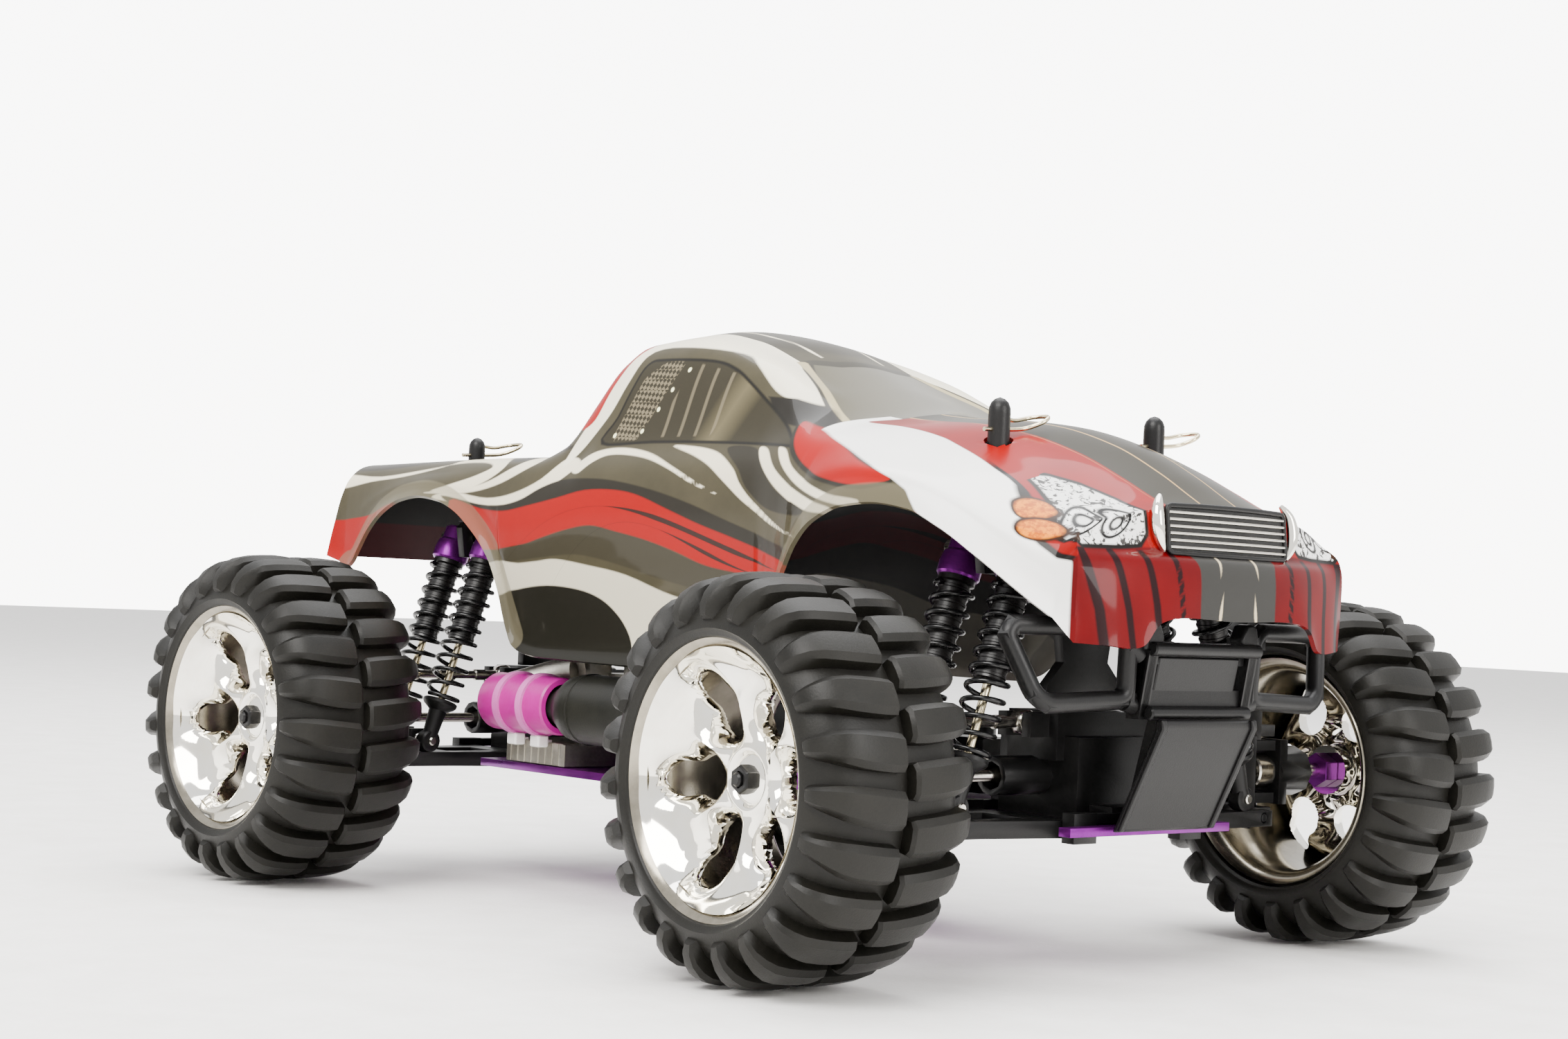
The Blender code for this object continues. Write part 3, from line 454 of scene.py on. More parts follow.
Z0 = table([(-208, 166.5), (-195, 168), (-120, 168.6), (-92, 169), (-82, 171), (-70, 186), (-58, 204), (-50, 212), (-41, 217), (-20, 219), (7, 214.8), (30, 206.5), (55, 195.5), (78, 186.2), (95, 183.6), (120, 182), (141, 179.5), (165, 173), (185, 163.4), (198, 155.5), (205.6, 150.8)])
Z1 = table([(-208, 166.2), (-120, 168.2), (-86, 168.8), (-76, 171), (-64, 186), (-54, 203), (-46, 210.5), (-38, 213.5), (-15, 215.5), (8, 211.8), (30, 203.5), (55, 192), (80, 182), (95, 180.2), (120, 178.6), (141, 175), (165, 168), (185, 159.5), (198, 153.5), (205.6, 150.6)])
Y2 = table([(-208, 60), (-95, 62), (-80, 60), (-55, 52), (-40, 48), (0, 48), (40, 49), (60, 52), (80, 57), (100, 56), (141, 51), (185, 47), (205.6, 46)])
Z2 = table([(-208, 165), (-120, 166.6), (-80, 167), (-66, 174), (-55, 191), (-46, 203), (-38, 207.4), (-10, 208.2), (12, 205.5), (35, 199.6), (55, 190.5), (72, 179.5), (84, 176), (100, 175), (141, 168.6), (165, 162), (185, 153.8), (198, 149), (205.6, 147.4)])
Y3 = table([(-208, 67.5), (-100, 69), (-75, 68), (-45, 64.5), (0, 63.5), (50, 65), (75, 69), (95, 70), (141, 68), (170, 65), (190, 62.5), (205.6, 60)])
Z3 = table([(-208, 159.5), (-120, 161.5), (-80, 163), (-52, 168.5), (-40, 171.6), (0, 172.6), (60, 171.6), (85, 170), (110, 168.6), (141, 163.5), (165, 157), (185, 149), (198, 144.6), (205.6, 143)])
Y4 = table([(-208, 70), (-145, 72), (-100, 72), (0, 71.5), (55, 72.5), (75, 76), (100, 81), (135, 83), (165, 79), (185, 72.5), (198, 67.6), (205.6, 66.8)])
ZB = table([(-216, 126.5), (-206, 124.5), (-199, 122.5), (-194.5, 124.5), (-190, 129.5), (-182, 138), (-170, 146), (-158, 150.3), (-145, 151.8), (-132, 150.3), (-119, 145.5), (-107, 137), (-98, 126.5), (-92, 114), (-87, 100), (-84, 94.4), (-79, 92), (-67, 90.6), (-9, 90), (52, 90), (62, 92), (68, 98), (74, 108.5), (79, 117), (85, 125), (94, 136), (104, 143.4), (118, 148), (132, 149), (148, 147), (160, 141.6), (172, 133.6), (184, 124), (192, 117.4), (198, 113), (205.6, 110.5)])
YB = table([(-208, 72), (-198, 73), (-170, 75), (-145, 75.5), (-115, 74.5), (-92, 71), (-80, 69), (40, 69), (58, 70), (70, 76), (85, 83.5), (100, 87), (125, 88.4), (150, 87), (168, 83), (182, 77), (192, 71.4), (198, 67.8), (205.6, 66.8)])
BOW = table([(120, 0.0), (170, 0.35), (198, 0.9), (205.6, 1.0)])
POSTS = [(141.0, 39.3), (141.0, -39.3), (-146.5, 46.0), (-146.5, -46.0)]


def section(x):
    """Half section at x, from the centre line down to the arch or sill. The nose is bowed in plan."""
    b = BOW(x)
    xs = x - b * 9.5
    zb, z3 = ZB(xs), Z3(x)
    y3, y4, yb = Y3(x), Y4(xs), YB(xs)
    m = z3 - zb
    z4 = max(z3 - 13, z3 - 0.35 * m)
    z5 = zb + min(5.0, 0.28 * m)
    y5 = yb - 1.8
    z45 = 0.5 * (z4 + z5)
    y45 = 0.5 * (y4 + y5) + (1.0 if m > 45 else 0.0)
    p = [(0, Z0(x)), (29, Z1(x)), (Y2(x), Z2(x)), (y3, z3), (y4, z4), (y45, z45), (y5, z5), (yb, zb)]
    return [(x - b * 9.5 * min(1.0, y / 66.8) ** 2.2, y, z) for y, z in p]


def bowed(x, y, z):
    return (x - 9.5 * (y / 66.8) ** 2.2, y, z)


STATIONS = (-199, -192, -182, -168, -145, -122, -107, -97, -91, -86.5, -82, -70, -59, -51, -42, -28, 5, 30, 52, 64,
            71, 78, 86, 98, 114, 132, 152, 170, 184, 196)


def shell_rows():
    """Rows of points from the tail's lower edge over the body to the fascia's lower edge.

    The tail and the fascia are faces of five columns, whose last column is the side's end edge."""
    rear = section(-208)[:3] + [(-207.6, 67.6, 159.4), (-209.2, 70.2, 152), (-212.2, 71.2, 141), (-214.6, 71.8, 132), (-216, 72, 126.6)]
    tail = [[(x, y, z) for y in (0, 29, 56, 66)] + [rear[5 + k]] for k, (x, z) in enumerate(((-211.4, 148), (-214, 136), (-216, 127)))]
    nose = section(205.6)[:4] + [(200.8, 66.0, 138.6), (201.8, 66.8, 135.6), (202.4, 67.0, 132.2), (201.7, 66.9, 107.6)]
    face = [[bowed(207.0, 0, 137.6), bowed(207.4, 29, 137.4), bowed(207.6, 46, 137.4), bowed(208.8, 60, 136.8), nose[5]],
            [bowed(211.0, 0, 133.8), bowed(211.0, 29, 133.6), bowed(211.0, 46, 133.2), bowed(211.2, 60, 132.6), nose[6]],
            [(211.6, 0, 115.9), (211.4, 36.8, 114.7), (210.3, 44.5, 107.2), (207.0, 58, 107.2), nose[7]]]
    return list(reversed(tail)), [rear] + [section(x) for x in STATIONS] + [nose], face




NU = 13


def cr(p0, p1, p2, p3, t):
    def d(a, b):
        return max(1e-6, sum((x - y) ** 2 for x, y in zip(a, b)) ** 0.25)
    d1, d2, d3 = d(p0, p1), d(p1, p2), d(p2, p3)
    out = []
    for a, b, c, e in zip(p0, p1, p2, p3):
        m1 = ((b - a) / d1 - (c - a) / (d1 + d2) + (c - b) / d2) * d2
        m2 = ((c - b) / d2 - (e - b) / (d2 + d3) + (e - c) / d3) * d2
        out.append((2 * t ** 3 - 3 * t * t + 1) * b + (t ** 3 - 2 * t * t + t) * m1 + (-2 * t ** 3 + 3 * t * t) * c + (t ** 3 - t * t) * m2)
    return tuple(out)


def curve(pts, n, mirror=True):
    first = (pts[1][0], -pts[1][1], pts[1][2]) if mirror else tuple(2 * a - b for a, b in zip(pts[0], pts[1]))
    q = [first] + list(pts) + [tuple(2 * a - b for a, b in zip(pts[-1], pts[-2]))]
    out = []
    for i in range(len(pts) - 1):
        for k in range(n):
            out.append(cr(q[i], q[i + 1], q[i + 2], q[i + 3], k / n))
    out.append(tuple(pts[-1]))
    return out


def dense_rows(step=1.6):
    tail, body, face = shell_rows()
    rear, nose = body[0], body[-1]
    xs = []
    x = -206.0
    while x < 204.5:
        xs.append(x)
        fine = (-202 < x < -186) or (-104 < x < -80) or (56 < x < 92) or x > 150
        x += step * (0.6 if fine else 1.0)
    B = [curve(r, NU) for r in [rear] + [section(x) for x in xs] + [nose]]

    def end(rows4, edge):
        fine = [curve([r[k] for r in rows4], NU, mirror=False) for k in range(5)]
        fine[4] = edge
        return [curve([fine[k][j] for k in range(5)], NU) for j in range(3 * NU + 1)]
    F = end([nose[:5]] + face, B[-1][4 * NU:])
    T = end([rear[:5]] + list(reversed(tail)), B[0][4 * NU:])
    return T, B, F


# Livery outlines: S is (x, z) on the sides, T is (x, distance out) on top, F is (distance out, z) on the nose.
ART = {
    "window": ("S", [(-40, 171.6), (-36, 182), (-33, 193), (-29, 203), (-19, 204.4), (8, 203), (22, 199.5), (33, 194), (46, 186.6), (60, 179), (71, 172.6), (79, 168.4), (57, 169.6), (24, 171), (-10, 171.6)]),
    "rail": ("S", [(-58, 163), (-57, 172), (-53, 182), (-49, 194), (-44, 205), (-38, 214), (-9, 216), (4, 213.6), (16, 210.6), (29, 206), (49, 197), (63, 188.4), (66, 184.6), (58, 186), (47, 190), (32, 199.6), (20, 205), (-8, 208.4), (-30, 207.6), (-36, 196), (-40, 185), (-46, 176), (-53, 167)]),
    "c_red": ("S", [(-58, 178), (-54, 190), (-49, 201), (-45, 207), (-41, 212), (-38, 215), (-34, 213), (-38, 207), (-42, 202), (-46, 193), (-50, 181)]),
    "wave": ("S", [(-124, 150), (-106, 147), (-90, 146), (-75, 148), (-56, 151), (-38, 154), (-20, 154), (-6, 152), (11, 147), (28, 142), (44, 138), (64, 133), (92, 127), (92, 122), (64, 124), (42, 126), (29, 128), (15, 132), (-2, 136), (-20, 139), (-35, 141), (-51, 139), (-65, 136), (-80, 133), (-108, 132)]),
    "dark": ("S", [(-130, 152), (-100, 148), (-81, 150), (-67, 155), (-54, 158), (-36, 158.4), (-20, 157.4), (2, 154), (24, 149), (45, 143), (68, 137), (92, 132), (92, 126), (64, 130), (28, 139), (-6, 149), (-38, 151), (-75, 145), (-106, 144)]),
    "under": ("S", [(-94, 133), (-65, 136), (-35, 141), (-2, 136), (29, 128), (64, 124), (92, 121), (92, 108), (62, 116), (34, 118), (6, 122), (-20, 127), (-44, 130), (-70, 128), (-97, 126)]),
    "door": ("S", [(-99, 125), (-80, 126), (-68, 127), (-56, 128), (-36, 126), (-14, 123), (14, 116), (44, 113), (66, 108), (66, 84), (-86, 84), (-94, 104)]),
    "patch": ("S", [(-92, 113), (-81, 116), (-62, 118), (-43, 117), (-30, 114), (-21, 109), (-15, 103), (-12, 96), (-12, 84), (-62, 84), (-90, 84), (-92, 100)]),
    "sw1": ("S", [(-50.7, 162), (-44, 167.3), (-34.5, 169.8), (-21.1, 169.9), (-5.5, 167.5), (12.4, 161.9), (27.3, 156.4), (40.5, 151.8), (24.2, 156.1), (9.6, 161.4), (-5.6, 165.5), (-20.9, 167.4), (-32, 167.3), (-38.6, 164.7), (-45, 160.4)]),
    "sw2": ("S", [(3.4, 170.6), (20.5, 169.6), (33.6, 167), (45.3, 161.3), (50.6, 156), (59.3, 149.5), (76.5, 141.6), (93.8, 136.9), (72, 141.7), (55, 148.8), (41.8, 156.7), (31, 162.6), (19.1, 166.6)]),
    "sw2d": ("S", [(35.6, 169.3), (52.5, 168.8), (61.8, 161.1), (74.4, 153.1), (95.5, 146.2), (86.5, 144.9), (67.3, 147.5), (55, 154), (48, 161.3)]),
    "sw3": ("S", [(54.1, 168.6), (60.5, 168), (69.9, 161), (83.7, 154.5), (99.3, 149.7), (113.3, 147), (110.4, 145.4), (95.2, 146.7), (78.1, 152), (64.5, 159.5)]),
    "sw4": ("S", [(66.8, 168.6), (72.5, 167.6), (80.4, 161.4), (94.4, 155.8), (109.1, 151.8), (126.2, 149.7), (123.6, 147.6), (106.9, 149.6), (90.2, 153.9), (75.9, 160.6)]),
    "bed1": ("S", [(-214, 161), (-183, 160), (-152, 163), (-131, 165.4), (-112, 165.4), (-104, 163.4), (-112, 160), (-126, 156.6), (-138, 153.6), (-120, 153.4), (-106, 157), (-97, 161.4), (-96, 165), (-104, 167.6), (-129, 167.6), (-141, 164), (-165, 160), (-189, 158), (-214, 155)]),
    "bed2": ("S", [(-132, 152.6), (-120, 153), (-101, 151), (-84, 153), (-68, 158.4), (-57, 166.6), (-47, 164), (-62, 154.6), (-78, 149.6), (-100, 148.2), (-132, 150.4)]),
    "bed3": ("S", [(-142, 153), (-116, 155), (-101, 158), (-88, 164), (-83, 168), (-73, 167), (-83, 161), (-97, 156), (-116, 153)]),
    "bedtop": ("S", [(-214, 171), (-214, 163.6), (-190, 163), (-158, 165.4), (-136, 168), (-110, 168.6), (-92, 165.6), (-80, 168), (-66, 169), (-66, 172)]),
    "tail_red": ("S", [(-220, 144), (-212, 141.6), (-200, 142.4), (-184, 144), (-168, 148), (-160, 149), (-176, 143), (-186, 134), (-192, 127), (-200, 121), (-220, 121)]),
    "a_red": ("S", [(68, 178), (76, 176.4), (86, 174), (98, 169.6), (112, 164.6), (124, 161), (137, 157), (130, 155), (118, 155), (100, 158), (85, 163), (75, 169.4)]),
    "a_out": ("S", [(66.6, 179), (76, 177), (98, 170.4), (137, 157.2), (130, 153.6), (118, 153.6), (99, 156.6), (83.6, 161.8), (73.2, 168.6)]),
    "white": ("S", [(79, 190), (79, 175.4), (101, 168.6), (124, 161.6), (137, 157), (145, 153), (151, 146.6), (160, 140), (175, 128), (192, 113), (202.6, 96), (202.2, 132), (195, 133), (189, 137), (183, 142), (175, 151), (165, 159), (150, 180), (120, 195)]),
    "pillar": ("S", [(44, 188), (58, 187), (66, 184.6), (86, 174.6), (70, 176), (58, 178)]),
    "mesh": ("S", [(-35, 173), (-20, 173), (-6, 203), (-18, 203), (-27, 197)]),
    "tread": ("S", [(-12, 174), (22, 174), (30, 196), (0, 202)]),
    "shield": ("T", [(37, -4), (37, 14), (33.4, 25), (42, 31), (60, 40), (76, 47.6), (80, 47), (84, 30), (86, -4)]),
    "border": ("T", [(31, 26), (30, 30.6), (42, 35), (60, 43.6), (79, 51.6), (82, 49.4), (60, 39.6), (42, 31)]),
    "hood": ("T", [(86.6, -6), (85, 30), (82.4, 44), (100, 46), (127, 49.6), (143, 54), (157, 57.6), (170, 60), (185, 63.6), (212, 74), (212, -6)]),
    "grey": ("T", [(84, -6), (84, 24), (120, 26), (206, 26), (209, 22), (214, 19), (214, -6)]),
    "line1": ("T", [(84, 8.1), (84, 9.5), (214, 9.4), (214, 8.2)]),
    "line2": ("T", [(84, 24), (120, 25.6), (206, 25.6), (206, 26.9), (120, 26.9), (84, 25.3)]),
    "roofline": ("T", [(-56, 24), (28, 14.2), (28, 16.2), (-56, 26.6)]),
    "rear_glass": ("T", [(-78, -6), (-77, 44), (-52, 38), (-50, -6)]),
    "fascia": ("F", [(-4, 139), (60, 137.4), (63, 138), (67.2, 134), (69, 128), (69, 100), (-4, 100)]),
    "st1": ("F", [(67, 137), (63.4, 137), (58, 118), (56.4, 104), (59.6, 104), (61.4, 118)]),
    "st2": ("F", [(54.6, 137), (51.8, 137), (48, 118), (46.6, 104), (49, 104), (50.6, 118)]),
    "st3": ("F", [(42.4, 137), (39.8, 137), (37.2, 120), (36.8, 108), (39.2, 108), (40, 120)]),
    "st4": ("F", [(30.6, 137), (28, 137), (25.4, 113), (28, 113)]),
    "fline": ("F", [(8, 150), (8, 100), (9.6, 100), (9.6, 150)]),
    "fgrey": ("F", [(-4, 140), (21.6, 139), (19, 132), (18.6, 100), (-4, 100)]),
    "head": ("F", [(52.6, 160.4), (46.4, 160), (41.4, 157.4), (38.4, 153), (37.6, 148), (37.2, 142), (40.2, 138.6), (48.7, 137.8), (63.8, 137.5), (65.8, 138.9), (62.7, 144.6), (57.2, 150.7), (54.6, 155.6)]),
    "amber1": ("F", [(68.4, 148), (66, 150.4), (61.6, 151.6), (58.6, 150.6), (59.2, 147.9), (62.5, 146.1), (66.4, 145.2), (68.9, 145.9)]),
    "amber2": ("F", [(72.2, 141.9), (69.8, 144.1), (65.6, 144.9), (63.2, 143.8), (63.7, 141.6), (66, 139.8), (69.6, 138.8), (72, 139.7)]),
}
LAMPS = {"lamp1": ((57.4, 145.2), (-4.4, 0.3), (6.1, -4.9)), "lamp2": ((48.6, 144.8), (-4.9, 0.3), (3.5, -5.0))}


def signed(poly, u, v):
    """Distance inside a closed outline, in millimetres; negative outside."""
    P = np.array(poly, float)
    Q = np.roll(P, -1, 0)
    best = np.full(u.shape, 1e9)
    inside = np.zeros(u.shape, bool)
    for (ax, ay), (bx, by) in zip(P, Q):
        dx, dy = bx - ax, by - ay
        k = np.clip(((u - ax) * dx + (v - ay) * dy) / max(1e-9, dx * dx + dy * dy), 0, 1)
        best = np.minimum(best, (u - ax - k * dx) ** 2 + (v - ay - k * dy) ** 2)
        cross = ((ay > v) != (by > v)) & (u < (bx - ax) * (v - ay) / ((by - ay) if by != ay else 1e-9) + ax)
        inside ^= cross
    d = np.sqrt(best)
    return np.where(inside, d, -d)


def smooth_art(poly, n=4):
    """Outline with eased corners, so bands flow."""
    return [(p.x, p.y) for p in spline([(a, b, 0) for a, b in poly], n, closed=True)]


ANGULAR = {"fline", "white", "fascia", "grey", "line1", "line2", "st1", "st2", "st3", "st4", "fgrey", "shield", "border", "pillar", "mesh", "tread", "roofline", "hood", "rear_glass", "head"}


def painted_shell():
    T, B, F = dense_rows()
    bm = bmesh.new()

    def sheet(rows):
        vs = []
        for r in rows:
            left = [bm.verts.new(p) for p in r]
            right = [left[0]] + [bm.verts.new((p[0], -p[1], p[2])) for p in r[1:]]
            vs.append((left, right))
        for (a, c), (b, d) in zip(vs, vs[1:]):
            for p, q in ((a, b), (c, d)):
                for i in range(len(p) - 1):
                    bm.faces.new((p[i], p[i + 1], q[i + 1], q[i]))
    sheet(B)
    sheet(F)
    sheet(T)
    bmesh.ops.remove_doubles(bm, verts=bm.verts, dist=0.02)
    # the four post holes
    for hx, hy in POSTS:
        gone = [v for v in bm.verts if math.hypot(v.co.x - hx, v.co.y - hy) < 4.3 and v.co.z > 140]
        bmesh.ops.delete(bm, geom=gone, context="VERTS")
        for v in bm.verts:
            if v.is_boundary and math.hypot(v.co.x - hx, v.co.y - hy) < 9 and v.co.z > 140:
                k = 4.9 / math.hypot(v.co.x - hx, v.co.y - hy)
                v.co.x, v.co.y = hx + (v.co.x - hx) * k, hy + (v.co.y - hy) * k
    bmesh.ops.recalc_face_normals(bm, faces=bm.faces)
    up = max(bm.faces, key=lambda f: f.calc_center_median().z)
    if up.normal.z < 0:
        bmesh.ops.reverse_faces(bm, faces=bm.faces)
    me = bpy.data.meshes.new("painted_shell")
    bm.to_mesh(me)
    bm.free()
    co = np.zeros(len(me.vertices) * 3)
    me.vertices.foreach_get("co", co)
    co = co.reshape(-1, 3)
    x, y, z = co[:, 0], np.abs(co[:, 1]), co[:, 2]
    uv = {"S": (x, z), "T": (x, y), "F": (y, z)}
    rule = {"S": y > 28, "T": z > 146, "F": x > 168}
    dist = {}
    for name, (kind, poly) in ART.items():
        p = poly if name in ANGULAR else smooth_art(poly)
        d = signed(p, *uv[kind])
        keep = rule[kind]
        if name in ("tail_red", "bed1"):
            keep = keep | (x < -206.6)
        if name == "bedtop":
            keep = y > -1
        d = np.where(keep, d, -30.0)
        dist[name] = d
    for name, (c, e1, e2) in LAMPS.items():
        det = e1[0] * e2[1] - e1[1] * e2[0]
        a = ((y - c[0]) * e2[1] - (z - c[1]) * e2[0]) / det
        b = (-(y - c[0]) * e1[1] + (z - c[1]) * e1[0]) / det
        dist[name] = np.where(x > 168, (1 - np.sqrt(a * a + b * b)) * 6.0, -30.0)
    dist["white"] = np.minimum(dist["white"], -np.where(x > 80, dist["hood"], -30.0))
    bars = np.interp(x, [-216, 205], [0, 1])
    # lips around the wheel openings: a painted highlight, a light band where the arch flares reflect the light
    lip = np.full(x.shape, 1e3)
    for k in range(len(x) if False else 0):
        pass
    xs = np.arange(-200, 203, 1.0)
    edge = np.array([ZB(a) for a in xs])
    for a, e in zip(xs, edge):
        if e > 96:
            lip = np.minimum(lip, np.hypot(x - a, z - e))
    lip = np.where((y > 55), lip, 1e3)
    dist["lip"] = 6.5 - lip
    dist["side"] = np.where(y > 60, 5.0, -5.0)
    for k, pts in enumerate(([(-30, 148), (-8, 146.4), (10, 142.6), (28, 137.6), (46, 133), (80, 126)], [(0, 141), (14, 137.6), (26, 133.6), (40, 129.2), (64, 124.6)])):
        px, pz = zip(*pts)
        f = np.poly1d(np.polyfit(px, pz, 3))
        at = me.attributes.new("s_%d" % (k + 1), "FLOAT", "POINT")
        at.data.foreach_set("value", (z - f(x)).astype(np.float32))
    for name, d in dist.items():
        at = me.attributes.new("r_" + name, "FLOAT", "POINT")
        at.data.foreach_set("value", d.astype(np.float32))
    me.transform(Matrix.Scale(MM, 4) @ Matrix.Translation((X_SHIFT, 0, 0)))
    ob = bpy.data.objects.new("painted_shell", me)
    bpy.context.scene.collection.objects.link(ob)
    me.materials.append(paint(False))
    me.materials.append(paint(True))
    s = ob.modifiers.new("wall", "SOLIDIFY")
    s.thickness = 1.5 * MM
    s.offset = -1
    s.material_offset = 1
    s.material_offset_rim = 0
    s.use_quality_normals = True
    bake(ob)
    ob.data.shade_smooth()
    ob.data.set_sharp_from_angle(angle=math.radians(46))
    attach(ob, "shell")
    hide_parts("body_shell")
    return ob


def paint(inside):
    t = Tree("shell_inner_shaded_look" if inside else "shell_paint_look")
    X, Y, Z = t.xyz()

    def m(name, edge=0.0, soft=0.35):
        return t.span(t.attr("r_" + name), edge - soft, edge + soft)
    grain = t.noise(60, 4, 0.6)
    olive = t.mix(t.span(grain, 0.3, 0.7), srgb(98, 92, 70), srgb(108, 101, 78))
    dark, cream, red = srgb(46, 42, 33), (0.72, 0.66, 0.5, 1.0), (0.27, 0.0, 0.0, 1.0)
    c = olive
    for name, col in (("bedtop", srgb(70, 64, 50)), ("bed1", cream), ("bed3", cream), ("bed2", cream), ("tail_red", red), ("dark", srgb(58, 53, 43)), ("under", srgb(88, 82, 64)),
                      ("wave", red), ("door", (0.52, 0.48, 0.37, 1.0)), ("patch", srgb(48, 46, 38)),
                      ("sw1", cream), ("sw2", cream), ("sw2d", srgb(66, 61, 49)), ("sw3", cream), ("sw4", cream)):
        c = t.mix(m(name), c, col)
    # two fine dark streaks flowing along the red band
    for k, (x0, x1) in enumerate(((-0.026, 0.078), (0.006, 0.060))):
        w = t.math("MULTIPLY", t.math("MULTIPLY", t.span(X, x0, x0 + 0.03), t.span(X, x1 - 0.03, x1, 1.0, 0.0)), 0.95)
        off = t.math("ABSOLUTE", t.attr("s_%d" % (k + 1)))
        c = t.mix(t.span(t.math("SUBTRACT", off, w), -0.15, 0.15, 0.95, 0.0), c, t.mix(t.span(t.attr("r_side"), 0.0, 1.0), c, dark))
    # roof and rails
    roof = t.span(Z, 0.2075, 0.2095)
    c = t.mix(t.math("MULTIPLY", roof, t.span(X, -0.056, -0.052)), c, srgb(84, 78, 60))
    c = t.mix(m("rear_glass"), c, srgb(40, 38, 34))
    c = t.mix(m("rail"), c, (0.76, 0.71, 0.56, 1.0))
    c = t.mix(m("c_red"), c, red)
    c = t.mix(m("roofline"), c, cream)
    c = t.mix(t.math("MULTIPLY", m("shield", -5.0), t.span(X, 0.030, 0.0305)), c, srgb(78, 72, 54))
    _, AY, _ = X, t.math("ABSOLUTE", Y), Z
    # painted reflection: the windshield lightens from olive to pale grey towards the far side (+y) and the front
    c = t.mix(m("shield"), c, t.mix(t.span(t.math("ADD", t.math("MULTIPLY", Y, 1.0), t.math("MULTIPLY", X, 0.55)), -0.022, 0.034), srgb(112, 104, 66), srgb(158, 156, 148)))
    c = t.mix(m("border"), c, srgb(196, 190, 166))
    c = t.mix(m("pillar"), c, srgb(46, 42, 35))
    # side window: frame line, a painted highlight band across the glass, woven edge, lines and rivets
    win = m("window")
    window_highlight = t.math("MULTIPLY", t.span(t.math("ABSOLUTE", t.math("SUBTRACT", t.math("SUBTRACT", X, 0.030), t.math("MULTIPLY", t.math("SUBTRACT", Z, 0.185), 0.45))), 0.0, 0.012, 1.0, 0.0), 0.75)
    # painted highlight: a soft slanted light band on the window glass
    glass = t.mix(window_highlight, srgb(74, 68, 50), srgb(150, 142, 112))
    wv = t.new("ShaderNodeTexChecker")
    mp = t.new("ShaderNodeMapping")
    mp.inputs["Rotation"].default_value = (0, 0.7, 0)
    t.link(t.co, mp.inputs["Vector"])
    t.link(mp.outputs["Vector"], wv.inputs["Vector"])
    wv.inputs["Scale"].default_value = 620
    glass = t.mix(t.math("MULTIPLY", t.math("MULTIPLY", m("mesh"), wv.outputs["Fac"]), 0.6), glass, srgb(176, 168, 146))
    wave = t.new("ShaderNodeTexWave", wave_type="BANDS", bands_direction="X")
    t.link(t.co, wave.inputs["Vector"])
    wave.inputs["Scale"].default_value = 34
    wave.inputs["Distortion"].default_value = 0.0
    wave.inputs["Detail"].default_value = 0.0
    wave.inputs["Detail Scale"].default_value = 9.0
    glass = t.mix(t.math("MULTIPLY", t.math("MULTIPLY", m("tread"), t.span(wave.outputs["Fac"], 0.86, 0.97)), 0.5), glass, srgb(170, 162, 140))
    for rx, rz in ((-2.6, 199.4), (-8.4, 192), (-13, 184.6), (-18.4, 176.4), (-33.6, 175)):
        r = t.math("SQRT", t.math("ADD", t.math("POWER", t.math("SUBTRACT", X, (rx + X_SHIFT) * MM), 2.0), t.math("POWER", t.math("SUBTRACT", Z, rz * MM), 2.0)))
        glass = t.mix(t.span(r, 0.0007, 0.0011, 1.0, 0.0), glass, srgb(236, 230, 210))
    c = t.mix(win, c, srgb(38, 35, 28))
    c = t.mix(m("window", 1.1), c, glass)
    # nose
    c = t.mix(t.math("MULTIPLY", m("a_out"), 1.0), c, srgb(58, 54, 44))
    c = t.mix(m("a_red"), c, red)
    # painted highlight: a pale band along the wheel-arch lips
    c = t.mix(t.math("MULTIPLY", m("lip"), 0.55), c, srgb(150, 144, 122))
    hoodred = t.mix(t.span(t.noise(26, 3, 0.5), 0.35, 0.7), (0.24, 0.0, 0.0, 1.0), (0.16, 0.0, 0.0, 1.0))
    c = t.mix(t.span(X, 0.1515, 0.1525), c, hoodred)
    c = t.mix(m("hood"), c, hoodred)
    line = t.span(t.attr("r_white"), -2.1, -1.5)
    c = t.mix(t.math("MULTIPLY", line, t.span(X, 0.150, 0.158)), c, srgb(34, 28, 26))
    c = t.mix(m("white"), c, (0.9, 0.89, 0.86, 1.0))
    c = t.mix(m("grey"), c, srgb(76, 71, 56))
    c = t.mix(m("line1", 0.0, 0.25), c, srgb(206, 190, 150))
    c = t.mix(m("line2", 0.0, 0.25), c, srgb(206, 190, 150))
    fred = t.mix(t.span(t.noise(30, 3, 0.5), 0.35, 0.7), (0.1, 0.0, 0.001, 1.0), (0.065, 0.0, 0.001, 1.0))
    nose = t.span(X, 0.2005, 0.2015)
    c = t.mix(t.math("MULTIPLY", m("fascia"), nose), c, fred)
    for s in ("st1", "st2", "st3", "st4"):
        c = t.mix(t.math("MULTIPLY", m(s), nose), c, srgb(42, 8, 12))
    c = t.mix(t.math("MULTIPLY", m("fgrey"), nose), c, srgb(80, 79, 76))
    c = t.mix(t.math("MULTIPLY", m("fline", 0.0, 0.25), nose), c, (0.5, 0.42, 0.28, 1.0))
